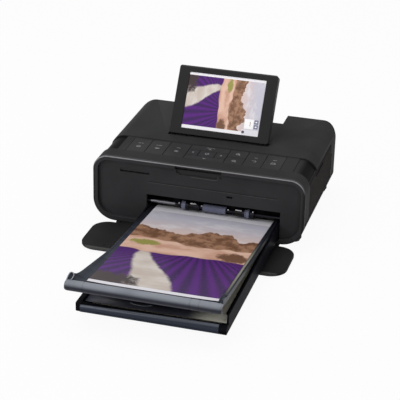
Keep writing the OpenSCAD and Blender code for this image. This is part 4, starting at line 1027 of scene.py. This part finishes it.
# marks printed on the keys, as strokes in mm from the middle of each key
legendY = 4.6
lens = [arc(-0.3, 0.3, 1.5, 0, 360, 20), [(0.8, -0.8), (2.0, -2.0)], [(-1.0, 0.3), (0.4, 0.3)]]
keyMarks = {
    "power_key": [arc(0, -2.6, 1.5, 120, 420), [(0, -2.4), (0, -0.6)]] + dashes(legendY, 2.2, 1.4),
    "wireless_key": [arc(0, -3.6, radius, 40, 140) for radius in (0.9, 1.8, 2.7)]
    + dashes(legendY, 1.6, 2.6),
    "menu_key": [[(-1.6, y), (1.6, y)] for y in (-3.6, -2.6, -1.6)] + dashes(legendY, 3.4),
    "up_key": [[(-1.1, -1.2), (0, 0.2), (1.1, -1.2)]] + dashes(2.2, 2.4, 1.6, 2.0),
    "down_key": [[(-1.1, 0.7), (0, -0.7), (1.1, 0.7)]],
    "left_key": [[(0.7, -1.1), (-0.7, 0), (0.7, 1.1)]],
    "right_key": [[(-0.7, -1.1), (0.7, 0), (-0.7, 1.1)]],
    "ok_key": [arc(0, 0, 1.5, 0, 360, 24)],
    "zoom_in_key": lens + [[(-0.3, -0.4), (-0.3, 1.0)]],
    "zoom_out_key": lens,
    "back_key": [arc(0, -2.6, 1.5, -100, 150), [(-2.2, -1.2), (-1.3, -1.9), (-0.6, -0.9)]]
    + dashes(legendY, 2.6),
    "print_key": [frameOf(-1.8, -3.4, 1.8, -1.7), frameOf(-1.1, -1.7, 1.1, -0.5)] + dashes(legendY, 3.0),
}
markInk = {"width": 0.46, "height": 0.05, "sink": 0.02}


def ribbonMesh(name, strokes, origin):
    # each stroke is a flat raised band with square ends
    work = bmesh.new()
    half = markInk["width"] / 2
    top, base = markInk["height"], -markInk["sink"]
    for stroke in strokes:
        closed = len(stroke) > 3 and math.dist(stroke[0], stroke[-1]) < 0.01
        rings = []
        for k, (x, y) in enumerate(stroke[:-1] if closed else stroke):
            before = stroke[k - 1] if k else (stroke[-2] if closed else stroke[0])
            after = stroke[min(k + 1, len(stroke) - 1)]
            first = Vector((x - before[0], y - before[1]))
            second = Vector((after[0] - x, after[1] - y))
            first = (first if first.length > 1e-6 else second).normalized()
            second = second.normalized() if second.length > 1e-6 else first
            along = (first + second).normalized()
            side = Vector((-along.y, along.x)) * half / max(0.5, along.dot(first))
            left, right = Vector((x, y)) + side, Vector((x, y)) - side
            rings.append([work.verts.new(origin + Vector((p.x, p.y, z)) * mm)
                          for p, z in ((left, base), (left, top), (right, top), (right, base))])
        skin(work, rings, closed)
    return meshFrom(work, name, outward=True)


def makeKeyMarks():
    for node, strokes in keyMarks.items():
        low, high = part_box(node)
        origin = Vector(((low.x + high.x) / 2, (low.y + high.y) / 2, high.z))
        mesh = ribbonMesh(node + "_mark", strokes, origin)
        setMaterial(mesh, "mark")
        addPiece(node + "_mark", mesh, node)


makeKeyMarks()
print("key marks made:", len(keyMarks))


# finishes of the nodes that keep their own shape
nodeFinishes = {
    "rubber": ["rubber_feet"], "film": ["ribbon_film"], "brass": ["motor_pinion"],
    "darkSteel": ["exit_roller"], "ceramic": ["thermal_head"], "board": ["main_board", "switch_board"],
    "steel": ["case_screws", "drive_motor", "feed_roller", "head_springs", "screen_hinge_pin",
              "door_hinge_pin"],
    "sheetSteel": ["left_chassis_plate", "right_chassis_plate", "chassis_ties", "usb_socket", "head_frame",
                   "heat_sink"],
    "black": ["dc_socket", "supply_spool", "takeup_spool"],
    "nylon": ["feed_gear", "idler_gear", "platen_gear"],
    "roller": ["platen_roller", "pinch_roller", "pickup_roller"],
}


def finishNodes():
    for finish, names in nodeFinishes.items():
        for node in names:
            setMaterial(nodes[node].data, finish)
    # the lit area: its lower left corner and the way up its face
    tilt = math.radians(-joints["screen_tilt"]["range_deg"][0])
    border = (display["frameLength"] - display["tall"]) / 2 * mm
    corner = Vector((-display["wide"] / 2 * mm, screenLow.y + border * math.cos(tilt),
                     screenLow.z + border * math.sin(tilt) + display["setBack"] * mm * math.cos(tilt)))
    setMaterial(nodes["display_panel"].data,
                litDisplay("litDisplay", corner, Vector((0, math.cos(tilt), math.sin(tilt)))))


finishNodes()
print("node finishes set:", sum(len(names) for names in nodeFinishes.values()) + 1)


studio = {
    "floorColour": (236, 236, 237), "floorSize": 6.0, "floorDrop": -0.0002, "skyLight": 0.4, "white": 1.0,
    "floorGlow": 0.94, "aim": (0, 0.07, 0.03),
    # name, place and size in metres, power in watts
    "lamps": [
        ("overhead", (-0.25, -0.05, 1.3), 1.1, 7.0),
        ("frontLeft", (-0.9, -1.0, 0.8), 0.8, 4.0),
        ("rearRight", (0.7, 1.0, 1.0), 0.7, 1.5),
    ],
}


def makeStudio():
    world = bpy.data.worlds.new("studio")
    bpy.context.scene.world = world
    world.use_nodes = True
    sky = Graph()
    sky.tree = world.node_tree
    sky.tree.nodes.clear()
    strength = sky.node("ShaderNodeMapRange", None, {
        "Value": sky.plainRays(), "To Min": studio["skyLight"], "To Max": studio["white"]})
    light = sky.node("ShaderNodeBackground", None, {"Color": (1, 1, 1, 1), "Strength": strength})
    sky.end("ShaderNodeOutputWorld", "Surface", light)
    for name, place, size, power in studio["lamps"]:
        lamp = bpy.data.lights.new(name, "AREA")
        lamp.shape = "DISK"
        lamp.size = size
        lamp.energy = power
        holder = addObject(name, lamp)
        holder.location = place
        aim = Vector(studio["aim"]) - Vector(place)
        holder.rotation_euler = aim.to_track_quat("-Z", "Y").to_euler()


def makeFloor():
    # pale floor, mostly plain white to the camera and to gloss, so that its shadow stays faint
    finish = Finish("paleFloor")
    paler = tuple(level + 3 for level in studio["floorColour"])
    colour = finish.mix(finish.noise(2.0), studio["floorColour"], paler)
    matt = finish.node("ShaderNodeBsdfDiffuse", None, {"Color": colour})
    white = {"Color": paint(255, 255, 255), "Strength": studio["white"]}
    glow = finish.node("ShaderNodeEmission", None, white)
    seen = finish.plainRays() * studio["floorGlow"]
    finish.close(finish.node("ShaderNodeMixShader", None, {0: seen, 1: matt, 2: glow}))
    work = bmesh.new()
    bmesh.ops.create_grid(work, x_segments=2, y_segments=2, size=studio["floorSize"])
    mesh = meshFrom(work, "floor")
    mesh.materials.append(finish.material)
    floor = addObject("floor", mesh)
    floor.location.z = studio["floorDrop"]


makeStudio()
makeFloor()
bpy.context.scene.view_settings.view_transform = "Standard"
print("studio made")
